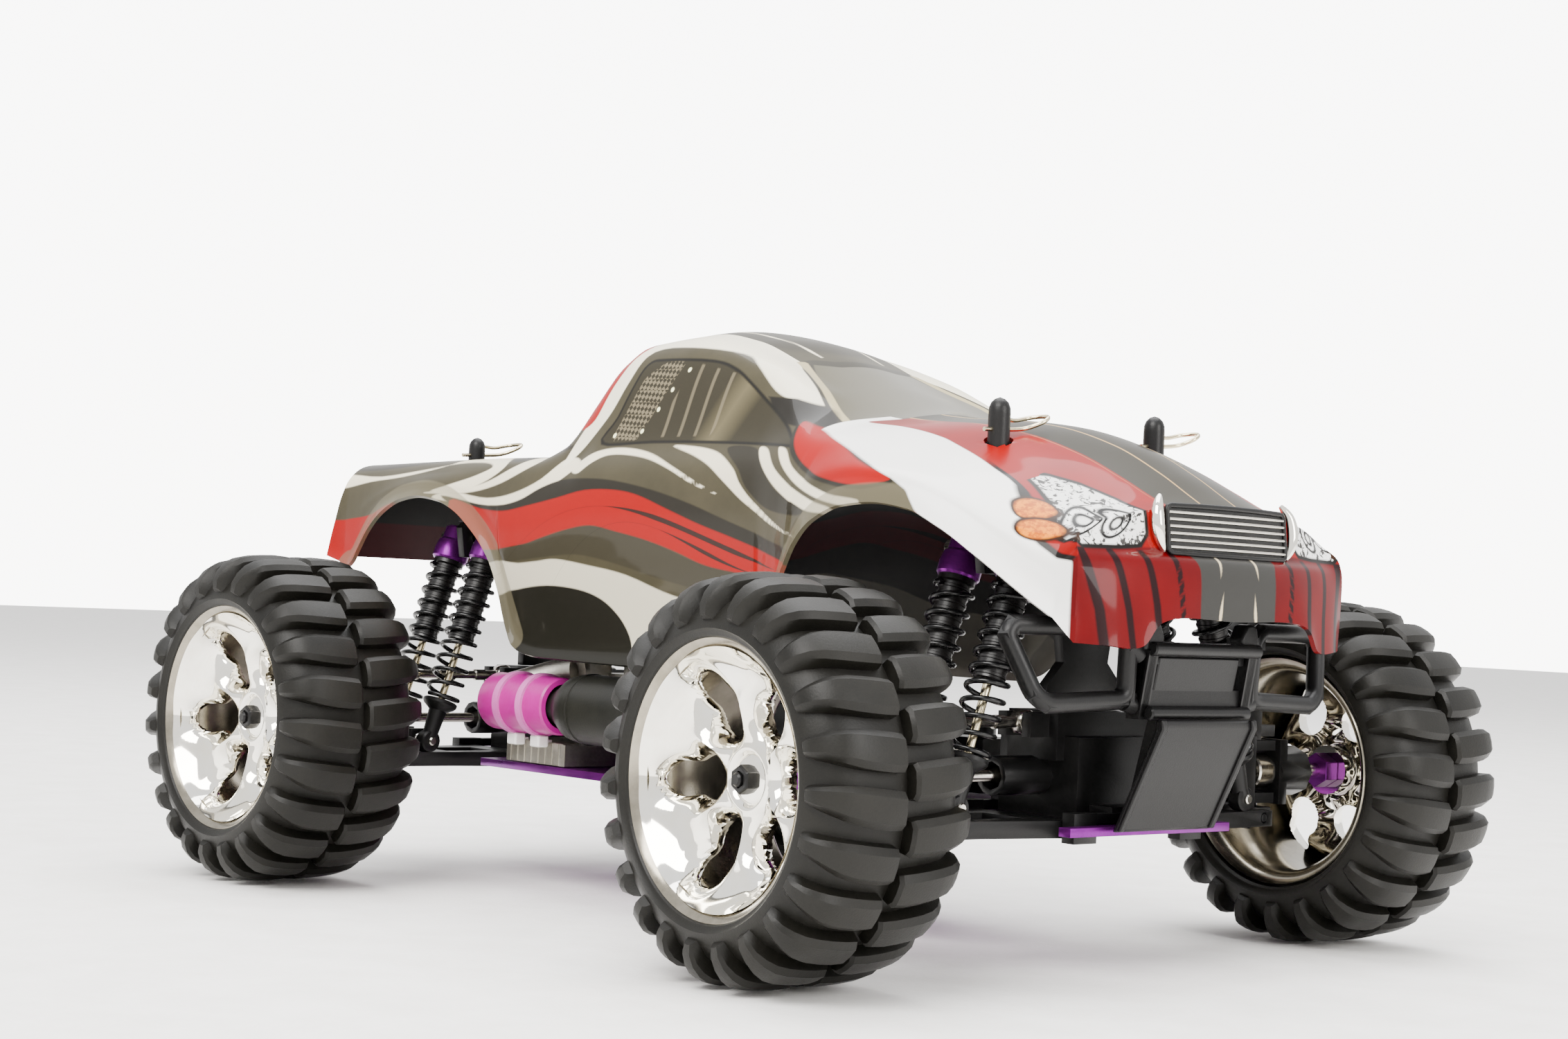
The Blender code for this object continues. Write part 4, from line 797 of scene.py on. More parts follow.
    # lamps
    c = t.mix(m("head", -1.0), c, srgb(30, 26, 24))
    fl = t.noise(420, 3, 0.6, 0.8)
    c = t.mix(m("head", 0.5), c, t.mix(t.span(fl, 0.42, 0.47), srgb(92, 90, 88), (0.8, 0.8, 0.78, 1.0)))
    for s in ("lamp1", "lamp2"):
        c = t.mix(m(s), c, srgb(24, 23, 23))
        c = t.mix(m(s, 1.3), c, t.mix(t.span(fl, 0.42, 0.47), srgb(92, 90, 88), (0.85, 0.85, 0.84, 1.0)))
        c = t.mix(m(s, 3.0), c, srgb(34, 33, 33))
        c = t.mix(m(s, 4.3), c, (0.7, 0.7, 0.68, 1.0))
    for s in ("amber1", "amber2"):
        c = t.mix(m(s, -0.9), c, srgb(70, 34, 10))
        c = t.mix(m(s, 0.0), c, t.mix(t.span(t.noise(500, 3, 0.6), 0.42, 0.58), (0.42, 0.085, 0.0, 1.0), (0.7, 0.2, 0.0, 1.0)))
    if inside:
        # painted shade: the inner side repeats the livery, darkened 78% towards blue-grey
        c = t.mix(0.78, c, srgb(40, 42, 52))
        t.p.inputs["Roughness"].default_value = 0.42
    else:
        t.p.inputs["Roughness"].default_value = 0.3
        t.p.inputs["Specular IOR Level"].default_value = 0.06
        t.p.inputs["Coat Weight"].default_value = 0.2
        t.p.inputs["Coat Roughness"].default_value = 0.05
    t.put(t.p.inputs["Base Color"], c)
    t.bump(t.noise(22, 2, 0.5), 0.08, 0.0008)
    return t.m


painted_shell()


def grille():
    """Near-black backing, painted shade of the grille opening, and bright bars across the nose, with a bright cup at
    each side.
    """
    def nose(y, z, off):
        x = 205.6 + (150.8 - z) * 0.11
        return Vector((x - 9.5 * (abs(y) / 66.8) ** 2.2 + off, y, z))
    ys = [-29 + 58 * k / 24 for k in range(25)]
    bm = bmesh.new()
    rows = [[bm.verts.new(nose(y, z, o)) for y in ys] for z, o in ((151.2, -2), (151.2, 0.9), (137.2, 0.9), (137.2, -2))]
    for a, b in zip(rows, rows[1:] + rows[:1]):
        for i in range(24):
            bm.faces.new((a[i], a[i + 1], b[i + 1], b[i]))
    bm.faces.new([r[0] for r in rows])
    bm.faces.new([r[-1] for r in rows])
    build(bm, "grille_shade_backing", "shell", "hole", smooth=30)
    bars = [tube([nose(y, 149.6 - 2.2 * k, 1.3) for y in ys], 0.52, 8) for k in range(6)]
    frame_bar = tube(rounded([nose(-29.6, 151.6, 1.1), nose(-15, 151.9, 1.1), nose(0, 152, 1.1), nose(15, 151.9, 1.1), nose(29.6, 151.6, 1.1), nose(29.6, 136.8, 1.1), nose(15, 136.6, 1.1), nose(0, 136.6, 1.1), nose(-15, 136.6, 1.1), nose(-29.6, 136.8, 1.1)], 2), 0.9, 8, closed=True)
    build(join(*bars), "grille_bars", "shell", "steel", smooth=50)
    build(frame_bar, "grille_frame", "shell", "black", smooth=50)
    for s, tag in ((-1, "right"), (1, "left")):
        path = spline([nose(s * 31, 137, 0.4), nose(s * 33.2, 141, 1.2), nose(s * 34, 146, 1.4), nose(s * 33.2, 151, 1.0), nose(s * 30.8, 154.6, -0.4)], 5)
        n = len(path)
        build(tube(path, [0.6 + 1.7 * math.sin(math.pi * (k + 0.5) / n) for k in range(n)], 12), "grille_cup_" + tag, "shell", "chrome", smooth=60)


grille()


def clips():
    """Body clips through the posts."""
    for k, (x, y) in enumerate(POSTS):
        z = 176.0 if x > 0 else 170.4
        wire = spline([(x + 0, y - 7, z - 0.6), (x, y + 4, z), (x + 1, y + 12, z + 1), (x + 4.5, y + 16.6, z + 3.4), (x + 3, y + 20, z + 5.4), (x - 2.6, y + 17.6, z + 5), (x - 3.2, y + 11, z + 3.6), (x - 2.8, y + 5.6, z + 3.8), (x - 4.4, y + 0.6, z + 4.6)], 5)
        build(tube(wire, 0.75, 8), "body_clip_%d" % (k + 1), "shell", "gold", smooth=60)


clips()


# ---------------------------------------------------------------- wheels
LUGS = 23


def hub_frame(e, s):
    return (e * AXLE_X, s * WHEEL_Y, WHEEL_R), (0, s, 0), (((e * AXLE_X, s * KINGPIN_Y, WHEEL_R), STEER0) if e > 0 else None)


def wheel_point(hub, s, t, r, w):
    """A point at t outboard, radius r and angle w, where w turns the same way on both sides of the truck."""
    return Vector((hub[0] + r * math.sin(w), hub[1] + s * t, hub[2] + r * math.cos(w)))


def lug(bm, hub, s, side, w0):
    """One tread bar, from its blunt end near the middle, over the shoulder and down the sidewall."""
    # across (t), outer radius, seat radius and seat across, turn (deg), half width (deg) at the seat and the top
    rows = [(1.4, 61.0, 55.5, 1.2, 0.0, 5.0, 4.2), (2.4, 62.1, 55.5, 2.4, 0.1, 5.4, 4.7), (7, 62.4, 55.5, 7, 0.7, 5.6, 4.9), (12, 62.2, 55.3, 12, 1.8, 5.6, 4.9),
            (17, 61.8, 54.6, 16.6, 3.2, 5.5, 4.8), (21.5, 60.8, 53.2, 20.6, 4.8, 5.2, 4.4), (25.0, 58.8, 51.4, 23.6, 6.4, 4.7, 3.8), (27.8, 55.8, 49.6, 25.6, 7.6, 4.2, 3.1),
            (29.6, 52.0, 47.8, 26.4, 8.4, 3.8, 2.6), (29.6, 48.9, 46.4, 26.2, 8.8, 3.4, 2.1)]
    rings = []
    for t, ro, ri, ti, turn, wb, wt in rows:
        c = w0 - math.radians(turn * 0.42)
        b, a = math.radians(wb), math.radians(wt)
        mid = (0.22 * ti + 0.78 * t, 0.22 * ri + 0.78 * ro)
        pts = [(ti, ri, -b), (mid[0], mid[1], -a * 1.12), (t, ro, -a * 0.72), (t, ro + 0.15, 0), (t, ro, a * 0.72), (mid[0], mid[1], a * 1.12), (ti, ri, b)]
        rings.append([bm.verts.new(wheel_point(hub, s, side * p, r, c + w)) for p, r, w in pts])
    n = len(rings[0])
    for p, q in zip(rings, rings[1:]):
        for i in range(n):
            bm.faces.new((p[i], p[(i + 1) % n], q[(i + 1) % n], q[i]))
    bm.faces.new(rings[0])
    bm.faces.new(rings[-1])


def tyre(tag, e, s):
    hub, out, turn = hub_frame(e, s)
    half = [(0, 57.2), (8, 57.1), (15, 56.5), (20, 55.2), (24, 52.6), (26.8, 49.2), (28.2, 46.4), (28.4, 45), (27.2, 43.9), (26.9, 42.9), (25.9, 42.1), (21.8, 42.0), (21.8, 38.5), (18.4, 38.5), (21.4, 46), (20, 50), (14, 52.6), (0, 53)]
    prof = [(t, r) for t, r in half] + [(-t, r) for t, r in reversed(half[1:-1])]
    bm = revolve(prof, hub, out, 120, closed=True)
    for k in range(LUGS):
        w = 2 * math.pi * k / LUGS
        lug(bm, hub, s, 1, w)
        lug(bm, hub, s, -1, w + math.pi / LUGS)
    build(bm, "tyre_lugged_" + tag, "wheel_" + tag, "rubber", ("tyre_" + tag,), smooth=34, turn=turn)


def bean():
    """Outline of one window: a large round eye with a smaller one outboard of it, blended."""
    out = []
    for k in range(56):
        w = 2 * math.pi * k / 56
        lo, hi = 0.0, 16.0
        for _ in range(30):
            m = (lo + hi) / 2
            x, y = 25.6 + m * math.cos(w), m * math.sin(w)
            f1 = 7.0 - math.hypot(x - 21.6, y)
            f2 = 5.6 - math.hypot(x - 31.2, y - 0.6)
            g = max(0.0, 3.4 - abs(f1 - f2)) / 3.4
            if max(f1, f2) + g * g * 0.85 > 0:
                lo = m
            else:
                hi = m
        out.append((25.6 + lo * math.cos(w), lo * math.sin(w)))
    return out


BEAN = bean()
PHASE = math.radians(33)


def depth(r, w):
    """How far a point of the face is from the nearest window edge, outside it."""
    k = math.pi / 3
    a = (w - PHASE) % k
    a = a - k if a > k / 2 else a
    x, y = r * math.cos(a), r * math.sin(a)
    f1 = 7.0 - math.hypot(x - 21.6, y)
    f2 = 5.6 - math.hypot(x - 31.2, y - 0.6)
    g = max(0.0, 3.4 - abs(f1 - f2)) / 3.4
    return -(max(f1, f2) + g * g * 0.85)


def face_height(rr, w):
    k = min(1.0, max(0.0, (rr - 8.5) / 31.0))
    d = depth(rr, w)
    base = 10.0 + 2.6 * k + 12.2 * k ** 4
    spoke = 4.6 * math.exp(-((rr - 20) / 10.0) ** 2) * min(1.0, max(0.0, d) / 4.2) ** 0.8
    roll = 3.4 * math.exp(-max(0.0, d) / 1.5)
    ring = 1.4 * math.exp(-((rr - 9.0) / 1.5) ** 2)
    dish = 2.4 * max(0.0, 1 - rr / 8.0)
    return base + spoke + ring - roll - dish


def rim_face_mesh():
    """The sculpted face once, about its own axis +Y, cut with the six windows."""
    NR, NW = 44, 228
    bm = bmesh.new()
    front, back = [], []
    for i in range(NR + 1):
        r = 4.3 + (39.6 - 4.3) * i / NR
        f, b = [], []
        for j in range(NW):
            w = 2 * math.pi * j / NW
            t = face_height(r, w)
            f.append(bm.verts.new((r * math.sin(w), t, r * math.cos(w))))
            b.append(bm.verts.new((r * math.sin(w), t - 2.3, r * math.cos(w))))
        front.append(f)
        back.append(b)
    for g in (front, back):
        for a, b in zip(g, g[1:]):
            for j in range(NW):
                bm.faces.new((a[j], a[(j + 1) % NW], b[(j + 1) % NW], b[j]))
    for a, b in ((front[0], back[0]), (front[-1], back[-1])):
        for j in range(NW):
            bm.faces.new((a[j], a[(j + 1) % NW], b[(j + 1) % NW], b[j]))
    bmesh.ops.recalc_face_normals(bm, faces=bm.faces)
    me = bpy.data.meshes.new("rim_face")
    bm.to_mesh(me)
    bm.free()
    ob = bpy.data.objects.new("rim_face", me)
    bpy.context.scene.collection.objects.link(ob)
    cuts = []
    for k in range(6):
        a = PHASE + k * math.pi / 3
        pts = [(x * math.sin(a) + y * math.cos(a), x * math.cos(a) - y * math.sin(a)) for x, y in BEAN]
        cuts.append(prism(pts, "y", -10, 40))
    cm = join(*cuts)
    bmesh.ops.recalc_face_normals(cm, faces=cm.faces)
    cme = bpy.data.meshes.new("cut")
    cm.to_mesh(cme)
    cm.free()
    cut = bpy.data.objects.new("cut", cme)
    bpy.context.scene.collection.objects.link(cut)
    m = ob.modifiers.new("b", "BOOLEAN")
    m.object = cut
    m.operation = "DIFFERENCE"
    m.solver = "EXACT"
    bake(ob)
    bpy.data.objects.remove(cut, do_unlink=True)
    me = ob.data
    bpy.data.objects.remove(ob, do_unlink=True)
    return me


FACE = rim_face_mesh()


def rim(tag, e, s):
    hub, out, turn = hub_frame(e, s)
    prof = [(19.0, 38.2), (23.2, 39.0), (24.4, 39.9), (25.6, 41.0), (26.4, 42.2), (26.1, 42.9), (25.3, 42.7), (24.4, 41.6), (22.3, 41.5), (22.1, 38.2), (0, 38.1), (-22.1, 38.1), (-22.3, 41.4), (-24.9, 41.6), (-25.5, 40.9), (-24.9, 39.6),
            (-23.4, 38.0), (-21, 36.4), (0, 36.2), (14, 36.2), (16.5, 37.0)]
    # the barrel takes the darkened chrome: painted shade inside the tyre
    build(revolve(prof, hub, out, 96, closed=True), "rim_barrel_" + tag, "wheel_" + tag, "chrome_in", (), smooth=50, turn=turn)
    bm = bmesh.new()
    bm.from_mesh(FACE)
    bm.transform(Matrix.Translation(Vector(hub)) @ (Matrix.Identity(4) if s > 0 else Matrix.Rotation(math.pi, 4, "Z")))
    build(bm, "rim_face_" + tag, "wheel_" + tag, "chrome", ("rim_" + tag,), smooth=50, turn=turn)
    boss = revolve([(3.4, 3.4), (3.4, 9), (9.5, 9.2), (11.4, 8.0), (12.2, 6.2), (12.2, 3.4)], hub, out, 48, closed=True)
    build(boss, "rim_hub_" + tag, "wheel_" + tag, "chrome", (), smooth=40, turn=turn)
    nut = revolve([(11.6, 2.6), (11.6, 4.6), (15.2, 4.6), (15.9, 4.1), (15.9, 2.6)], hub, out, 6, closed=True)
    stub = revolve([(9, 2.2), (16.6, 2.2), (17.2, 1.6)], hub, out, 20)
    build(nut, "wheel_nut_" + tag, "wheel_" + tag, "black", (), smooth=30, bevel=0.25, turn=turn)
    build(stub, "wheel_stud_" + tag, "wheel_" + tag, "black", (), turn=turn)


for tag, e, s in CORNERS:
    tyre(tag, e, s)
    rim(tag, e, s)


# ---------------------------------------------------------------- dampers and springs
def dampers(tag, e, s):
    """Two coil-over dampers side by side at each corner: caps, ribbed bodies, open coils, rods and eyes."""
    ax = e * AXLE_X
    for k in (-1, 1):
        x = ax + k * 13.0
        top, bot = Vector((x, s * 45.0, 136.0)), Vector((x, s * 72.0, 54.0))
        L = (bot - top).length
        d = (bot - top) / L

        def P(a):
            return top + d * a
        side = "ab"[k > 0]
        cap = revolve([(-4.2, 1.8), (-4.2, 4.6), (-3.4, 5.4), (1.5, 5.6), (2.4, 6.6), (5.6, 7.3), (9.5, 7.3), (10.3, 6.7), (10.3, 2.4)], top, d, 40)
        build(cap, "damper_cap_%s_%s" % (tag, side), "shock_bodies_" + tag, "purple", (), smooth=32)
        body = [(9.8, 2.3), (9.8, 6.1), (12, 6.3)]
        a = 12.5
        while a < 43:
            body += [(a, 5.1), (a + 0.9, 5.1), (a + 1.1, 5.4), (a + 1.9, 5.4), (a + 2.1, 5.1)]
            a += 2.6
        body += [(44, 5.2), (44.6, 4.6), (44.6, 2.3)]
        build(revolve(body, top, d, 36, closed=True), "damper_body_%s_%s" % (tag, side), "shock_bodies_" + tag, "body_alloy", (), smooth=30)
        # the coil, drawn at rest length
        a0, a1, turns, R, wire = 12.6, L - 17.2, 10.0, 6.5, 0.92
        u = d.cross(Vector((1, 0, 0))).normalized()
        v = d.cross(u)
        path = []
        N = int(turns * 22)
        for i in range(N + 1):
            q = i / N
            ease = min(q, 1 - q) * turns
            lead = a0 + (a1 - a0) * q
            w = 2 * math.pi * turns * q
            if ease < 1.0:
                edge = a0 + 0.9 if q < 0.5 else a1 - 0.9
                lead = lead * ease + edge * (1 - ease)
            path.append(P(lead) + (u * math.cos(w) + v * math.sin(w)) * R)
        coil = build(tube(path, wire, 9), "coil_spring_%s_%s" % (tag, side), "shock_bodies_" + tag, "spring", (), smooth=70)
        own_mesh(coil)
        shaft = revolve([(28, 1.5), (L - 16, 1.5), (L - 16, 1.2), (28, 1.2)], top, d, 20, closed=True)
        build(shaft, "damper_shaft_%s_%s" % (tag, side), "shock_rods_" + tag, "gold", ())
        cup = revolve([(L - 17, 1.4), (L - 17, 6.2), (L - 16.6, 6.9), (L - 15.4, 6.9), (L - 14.4, 6.2), (L - 12.6, 3.6), (L - 4, 3.1), (L - 1, 3.3), (L + 2.2, 2.8), (L + 2.2, 1.4)], top, d, 36, closed=True)
        build(cup, "damper_foot_%s_%s" % (tag, side), "shock_rods_" + tag, "black", (), smooth=30)
        eye = revolve([(-2.8, 1.8), (-2.8, 3.7), (-2.2, 4.3), (2.2, 4.3), (2.8, 3.7), (2.8, 1.8)], bot, (1, 0, 0), 32, closed=True)
        build(eye, "damper_eye_%s_%s" % (tag, side), "shock_rods_" + tag, "black", (), smooth=30)
        head = revolve([(-3.2, 0.0), (-3.2, 1.7), (-2.6, 3.0), (0, 3.4), (0, 0.0)], (x + k * 4.4, s * 45.0, 136.0), (-k, 0, 0), 24)
        build(head, "damper_screw_%s_%s" % (tag, side), "shock_bodies_" + tag, "steel", (), smooth=40)
    pin = rod((ax - 18, s * 45, 136), (ax + 18, s * 45, 136), 1.8, 20)
    build(pin, "damper_top_pin_" + tag, "shock_bodies_" + tag, "steel", ("shock_bodies_" + tag,))
    low = rod((ax - 17, s * 72, 54), (ax + 17, s * 72, 54), 1.7, 20)
    build(low, "damper_low_pin_" + tag, "shock_rods_" + tag, "steel", ("shock_rods_" + tag,))


for tag, e, s in CORNERS:
    dampers(tag, e, s)


# ---------------------------------------------------------------- front bumper and guard
def bumper():
    for s, side in ((-1, "right"), (1, "left")):
        path = [(192.5, s * 31, 90), (191, s * 66, 88.5), (190, s * 71, 91.5), (184.6, s * 78, 109), (184.6, s * 75.5, 112.3), (188, s * 60, 112.6), (192.5, s * 36, 112.6), (193.5, s * 31.5, 110)]
        build(tube(rounded(path, 5, 5), 3.1, 18, closed=True), "bumper_hoop_" + side, "root", "black", (), smooth=60)
        strut = prism([(190, 84), (195.2, 84), (199, 106), (193, 106)], "y", s * 23, s * 27.5)
        build(strut, "bumper_strut_" + side, "root", "black", (), bevel=0.8)
        web = join(tube([(192.3, s * 27, 88.2), (192.6, s * 32, 89.4)], 3.0, 12), tube([(194.6, s * 27, 104), (193.6, s * 32, 107)], 3.0, 12))
        build(web, "bumper_web_" + side, "root", "black", (), smooth=60)
        horn = prism([(s * 20.5, 106), (s * 29, 106), (s * 27.6, 113.8), (s * 25.5, 115.4), (s * 22, 115.0), (s * 19.4, 110.2)], "x", 192.6, 198.4)
        build(horn, "bumper_horn_" + side, "root", "black", (), bevel=0.9)


bumper()


def guard():
    """Slanted guard plate with raised side ribs, an upper panel and two cross bars."""
    prof = [(182.6, 47.0), (185.4, 47.4), (201.6, 81.4), (201.2, 84.2), (198.8, 84.2), (198.9, 81)]
    plate = prism(prof, "y", -23.6, 23.6)
    build(plate, "guard_plate", "root", "black", ("skid_plate",), bevel=0.9)
    for s, side in ((-1, "right"), (1, "left")):
        rib = prism([(184.8, 47.4), (186.4, 47.6), (202.6, 81.2), (202.2, 84.2), (200.4, 84.2), (200.6, 81.4)], "y", s * 21.4, s * 23.9)
        build(rib, "guard_rib_" + side, "root", "black", (), bevel=0.5)
    upper = prism([(191.4, 86.6), (193.6, 86.2), (197.2, 104), (195.0, 104.6)], "y", -20.4, 20.4)
    build(upper, "guard_upper_panel", "root", "black", (), bevel=0.7)
    build(rod((199.3, -27, 106.4), (199.3, 27, 106.4), 2.3, 20), "guard_top_bar", "root", "black", ())
    build(rod((197.0, -25, 86.0), (197.0, 25, 86.0), 2.2, 20), "guard_low_bar", "root", "black", ())


guard()


# ---------------------------------------------------------------- exhaust and engine side
def exhaust():
    y, z = -60.0, 72.0
    path = [(-84, -60, 72), (-92, -60, 72.2), (-103, -59, 73), (-111.4, -56, 74.4), (-113.6, -50.5, 75.4), (-108.6, -42, 78.6), (-99, -35, 82.4), (-91.5, -31.2, 84)]
    build(tube(spline(path, 6), 6.3, 28), "header_pipe", "root", "alloy", ("exhaust_header",), smooth=60)
    flange = revolve([(0, 4), (0, 8.6), (2.2, 8.8), (2.6, 8.2), (2.6, 4)], (-91.5, -33.4, 84), (0, 1, 0), 32, closed=True)
    build(flange, "header_flange", "root", "alloy", (), smooth=30)
    c0 = (-103, y, z)
    prof = [(0, 8.6), (0.2, 10.6), (1.2, 11.1), (8, 11.1), (11, 11.3), (16.5, 11.3), (19, 11.0), (24, 11.0), (26, 11.3), (31.5, 11.3), (34, 11.1), (41, 11.0), (41.8, 10.4), (42, 8.6)]
    build(revolve(prof, c0, (1, 0, 0), 64, closed=True), "coupler_sleeve", "root", "magenta", ("exhaust_coupler",), smooth=34)
    for k, a in enumerate((11.8, 26.8)):
        band = revolve([(a, 11.0), (a + 0.2, 12.2), (a + 3.6, 12.2), (a + 3.8, 11.0)], c0, (1, 0, 0), 64, closed=True)
        build(band, "coupler_tie_%d" % (k + 1), "root", "magenta_lt", (), smooth=34)
        hx = -103 + a + 1.9
        head = box(hx - 2.9, hx + 2.9, y - 3.4, y + 1.6, z - 16.2, z - 11.6)
        build(head, "tie_head_%d" % (k + 1), "root", "white", (), bevel=0.7)
        tail = box(hx - 1.1, hx + 1.1, y + 1.4, y + 4.6, z - 14.6, z - 13.4)
        build(tail, "tie_tail_%d" % (k + 1), "root", "white", (), bevel=0.3)
    pipe = [(-82, 6.3), (-66, 6.5), (-60.4, 7.4), (-56, 9.6), (-51, 12.3), (-46.6, 13.1), (-40, 13.2), (2, 13.2), (8, 12.6), (12.6, 9.6), (16.4, 5.8), (19.6, 4.3), (41.4, 4.0), (43.6, 3.8), (44, 3.0), (43.2, 2.4)]
    build(revolve([(a + 82, r) for a, r in pipe], (-82, y, z), (1, 0, 0), 64), "tuned_pipe_body", "root", "pipe", ("tuned_pipe",), smooth=30)
    for k, a in enumerate((-44, 0)):
        seam = revolve([(0, 13.0), (0.3, 13.5), (1.3, 13.5), (1.6, 13.0)], (a, y, z), (1, 0, 0), 64, closed=True)
        build(seam, "pipe_seam_%d" % (k + 1), "root", "pipe", (), smooth=30)
    build(box(4, 9, -57, -51, 48.9, 62), "pipe_bracket", "root", "steel", (), bevel=0.5)
    # ribbed engine mount
    ribs = [box(-100 + 4.4 * k, -97.4 + 4.4 * k, -57.4, -18, 49.0, 57.2) for k in range(9)]
    build(join(box(-99.4, -63, -56.4, -18.4, 49.0, 56.2), *ribs), "mount_ribs", "root", "alloy", (), smooth=30)
    fins = [revolve([(0, 0), (0, 17.2), (0.5, 17.8), (1.4, 17.8), (1.9, 17.2), (1.9, 0)], (-76, -2, 88 + 3.9 * k), (0, 0, 1), 48) for k in range(7)]
    build(join(*fins), "head_fins", "root", "alloy", (), smooth=30)


exhaust()


# ---------------------------------------------------------------- posts
def posts():
    for k, (x, y) in enumerate(POSTS):
        z0, z1, r = (150.0, 186.4, 3.7) if x > 0 else (146.0, 177.4, 3.35)
        h = z1 - z0
        prof = [(0, 0), (0, r), (h - r * 1.5, r), (h - r * 0.95, r * 0.97), (h - r * 0.5, r * 0.8), (h - r * 0.16, r * 0.46), (h, 0)]
        build(revolve(prof, (x, y, z0), (0, 0, 1), 28), "shell_post_%d" % (k + 1), "root", "black", (), smooth=50)


posts()


# ---------------------------------------------------------------- broken edges on the moulded and machined parts that keep their CAD shape
def softened(name, width, look=None):
    src = frame["nodes"][name]
    bm = bmesh.new()
    bm.from_mesh(src.data)
    bmesh.ops.remove_doubles(bm, verts=bm.verts, dist=2e-6)
    bmesh.ops.dissolve_limit(bm, angle_limit=math.radians(0.6), verts=bm.verts, edges=bm.edges)
    me = bpy.data.meshes.new(name + "_finished")
    bm.to_mesh(me)
    bm.free()
    ob = bpy.data.objects.new(name + "_finished", me)
    bpy.context.scene.collection.objects.link(ob)
    s = SLOT.get(name, "black_nylon")
    me.materials.append(M[look or LOOK[s]])
    m = ob.modifiers.new("edge", "BEVEL")
    m.width = width * MM
    m.segments = 2
    m.limit_method = "ANGLE"
    m.angle_limit = math.radians(50)
    m.use_clamp_overlap = True
    bake(ob)
    ob.data.shade_smooth()
    ob.data.set_sharp_from_angle(angle=math.radians(46))
    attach(ob, src["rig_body"])
    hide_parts(name)
    return ob


SLOT = {p["node"]: p["material_slot"] for p in frame["record"].get("subparts", [])}
LOOK = {"tyre_rubber": "rubber", "chrome_plate": "chrome", "painted_shell": "black", "purple_alloy": "purple", "alloy": "alloy", "magenta_silicone": "magenta",
        "tank_plastic": "tank", "dark_pipe": "pipe", "steel": "steel", "black_nylon": "black"}
for name, width in [("chassis_plate", 0.35), ("front_gearbox", 0.9), ("rear_gearbox", 0.9), ("front_shock_tower", 0.5), ("rear_shock_tower", 0.5), ("steering_servo", 0.8),
                    ("radio_box", 1.0), ("engine", 0.6), ("fuel_tank", 1.6), ("fuel_tank_lid", 0.5), ("air_filter", 0.8), ("servo_saver", 0.3), ("steering_link", 0.3)]:
    if name in frame["nodes"]:
        softened(name, width)
for tag, e, s in CORNERS:
    softened("lower_arm_" + tag, 0.6)
    for stem in ("c_hub_", "hub_carrier_", "steering_knuckle_"):
        if stem + tag in frame["nodes"]:
            softened(stem + tag, 0.45)


def links(tag, e, s):
    """Upper turnbuckle, drive shaft and stub axle at one corner."""
    ax = e * AXLE_X
    hub, out, turn = hub_frame(e, s)
    prof = [(3.2, 1.9), (9, 1.9), (9.4, 2.3), (14, 2.3), (14.4, 1.7), (24, 1.7), (24.3, 2.4), (31.7, 2.4), (32, 1.7), (41.6, 1.7), (42, 2.3), (46.6, 2.3), (47, 1.9), (52.8, 1.9)]
    bar = revolve(prof, (ax, s * 28, 80), (0, s, 0), 24)
    eyes = [revolve([(-2.9, 2.2), (-2.9, 3.8), (-2.3, 4.2), (2.3, 4.2), (2.9, 3.8), (2.9, 2.2)], (ax, s * v, 80), (1, 0, 0), 28, closed=True) for v in (28, 84)]
    build(join(bar, *eyes), "turnbuckle_" + tag, "upper_arm_" + tag, "steel", ("upper_arm_" + tag,), smooth=34)
    bone = revolve([(0, 0), (-3.2 + 0.5, 1.4), (-1.4, 2.7), (0, 2.9), (1.5, 2.7), (3.0, 1.9), (53.0, 1.9), (54.5, 2.7), (56, 2.9), (57.4, 2.7), (58.7, 1.4), (59.2, 0)][1:], (ax, s * 39, WHEEL_R), (0, s, 0), 24)
    pins = [rod((ax - 4.0, s * v, WHEEL_R), (ax + 4.0, s * v, WHEEL_R), 0.8, 12) for v in (39, 95)]
    build(join(bone, *pins), "drive_shaft_" + tag, "dogbone_" + tag, "steel", ("dogbone_" + tag,), smooth=40)
    y0 = WHEEL_Y
    axle = revolve([(92 - y0, 4.7), (92 - y0, 6.0), (92.6 - y0, 6.5), (99.8 - y0, 6.5), (100.5 - y0, 5.6), (100.5 - y0, 2.5), (-3, 2.5), (-3, 2.2), (11, 2.2), (11, 0.8), (99.4 - y0, 0.8), (99.4 - y0, 4.7)], hub, out, 36, closed=True)
    build(axle, "stub_axle_" + tag, "wheel_" + tag, "steel", ("axle_" + tag,), smooth=34, turn=turn)
    drive = revolve([(-3, 2.4), (-3, 6.4), (3.3, 6.4), (3.3, 2.4)], hub, out, 6, closed=True)
    build(drive, "drive_hex_" + tag, "wheel_" + tag, "purple", (), smooth=30, bevel=0.3, turn=turn)


for tag, e, s in CORNERS:
    links(tag, e, s)


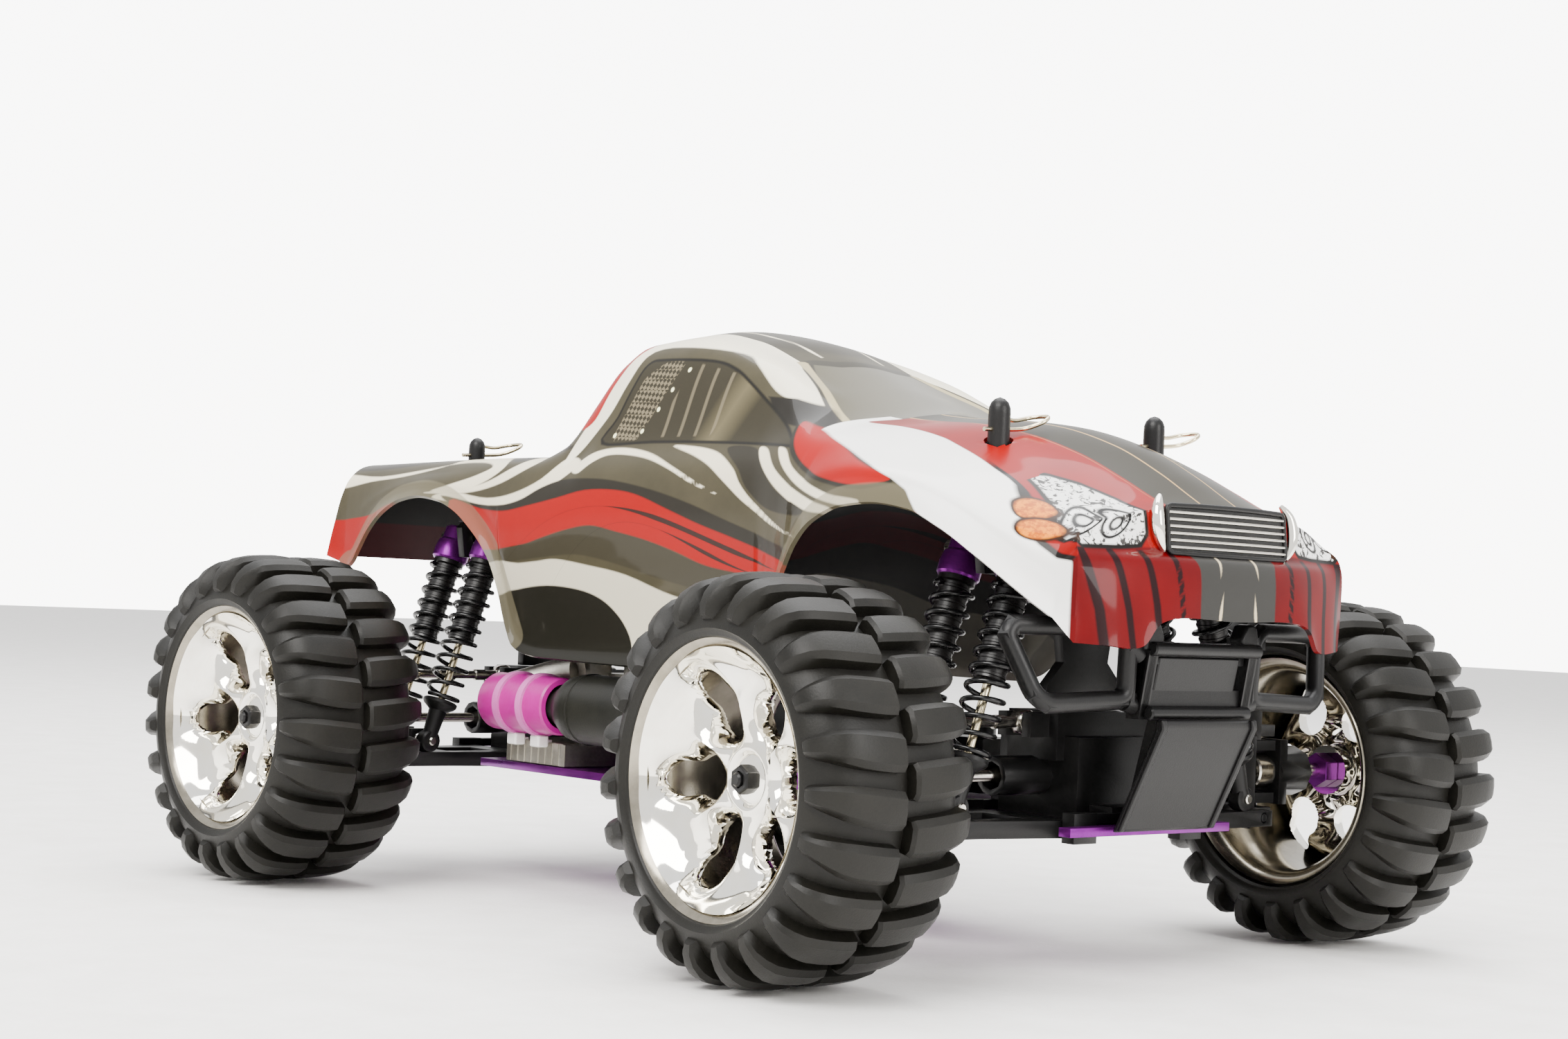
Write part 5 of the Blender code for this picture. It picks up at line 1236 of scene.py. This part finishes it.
# ---------------------------------------------------------------- floor, light and the finish of what stays
def finish_the_rest():
    by_slot = {}
    for p in frame["record"].get("subparts", []):
        by_slot[p["node"]] = p["material_slot"]
    table = {"tyre_rubber": "rubber", "chrome_plate": "chrome", "painted_shell": "black", "purple_alloy": "purple", "alloy": "alloy", "magenta_silicone": "magenta",
             "tank_plastic": "tank", "dark_pipe": "pipe", "steel": "steel", "black_nylon": "black"}
    for name, ob in frame["nodes"].items():
        look = M[table.get(by_slot.get(name, "black_nylon"), "black")]
        ob.data.materials.clear()
        ob.data.materials.append(look)
        ob.data.shade_smooth()
        ob.data.set_sharp_from_angle(angle=math.radians(42))


finish_the_rest()


def stage():
    me = bpy.data.meshes.new("floor")
    bm = bmesh.new()
    bmesh.ops.create_grid(bm, x_segments=2, y_segments=2, size=6)
    bm.to_mesh(me)
    bm.free()
    ob = bpy.data.objects.new("floor", me)
    ob.location.z = -0.0004
    bpy.context.scene.collection.objects.link(ob)
    me.materials.append(M["floor"])
    w = bpy.data.worlds.new("studio")
    bpy.context.scene.world = w
    w.use_nodes = True
    nt = w.node_tree
    bg = nt.nodes["Background"]
    tc = nt.nodes.new("ShaderNodeTexCoord")
    sep = nt.nodes.new("ShaderNodeSeparateXYZ")
    nt.links.new(tc.outputs["Generated"], sep.inputs[0])
    ramp = nt.nodes.new("ShaderNodeValToRGB")
    nt.links.new(sep.outputs[2], ramp.inputs["Fac"])
    e = ramp.color_ramp.elements
    e[0].position, e[0].color = 0.0, (1, 0.985, 0.96, 1)
    e[1].position, e[1].color = 1.0, (0.96, 0.97, 1.0, 1)
    nt.links.new(ramp.outputs["Color"], bg.inputs["Color"])
    see = nt.nodes.new("ShaderNodeLightPath")
    mr = nt.nodes.new("ShaderNodeMapRange")
    mr.inputs["To Min"].default_value = 1.7
    mr.inputs["To Max"].default_value = 9.0
    nt.links.new(see.outputs["Is Camera Ray"], mr.inputs["Value"])
    nt.links.new(mr.outputs["Result"], bg.inputs["Strength"])
    area("key_soft", (0.6, -1.5, 1.7), (0, 0, 0.08), (1.5, 1.1), 92, (1, 0.98, 0.95))
    area("front_soft", (1.9, 0.2, 0.8), (0.1, 0, 0.1), (0.9, 0.9), 30, (1, 0.98, 0.95))
    area("top_soft", (-0.2, 0.3, 1.9), (0, 0, 0.1), (1.8, 1.8), 72)


stage()
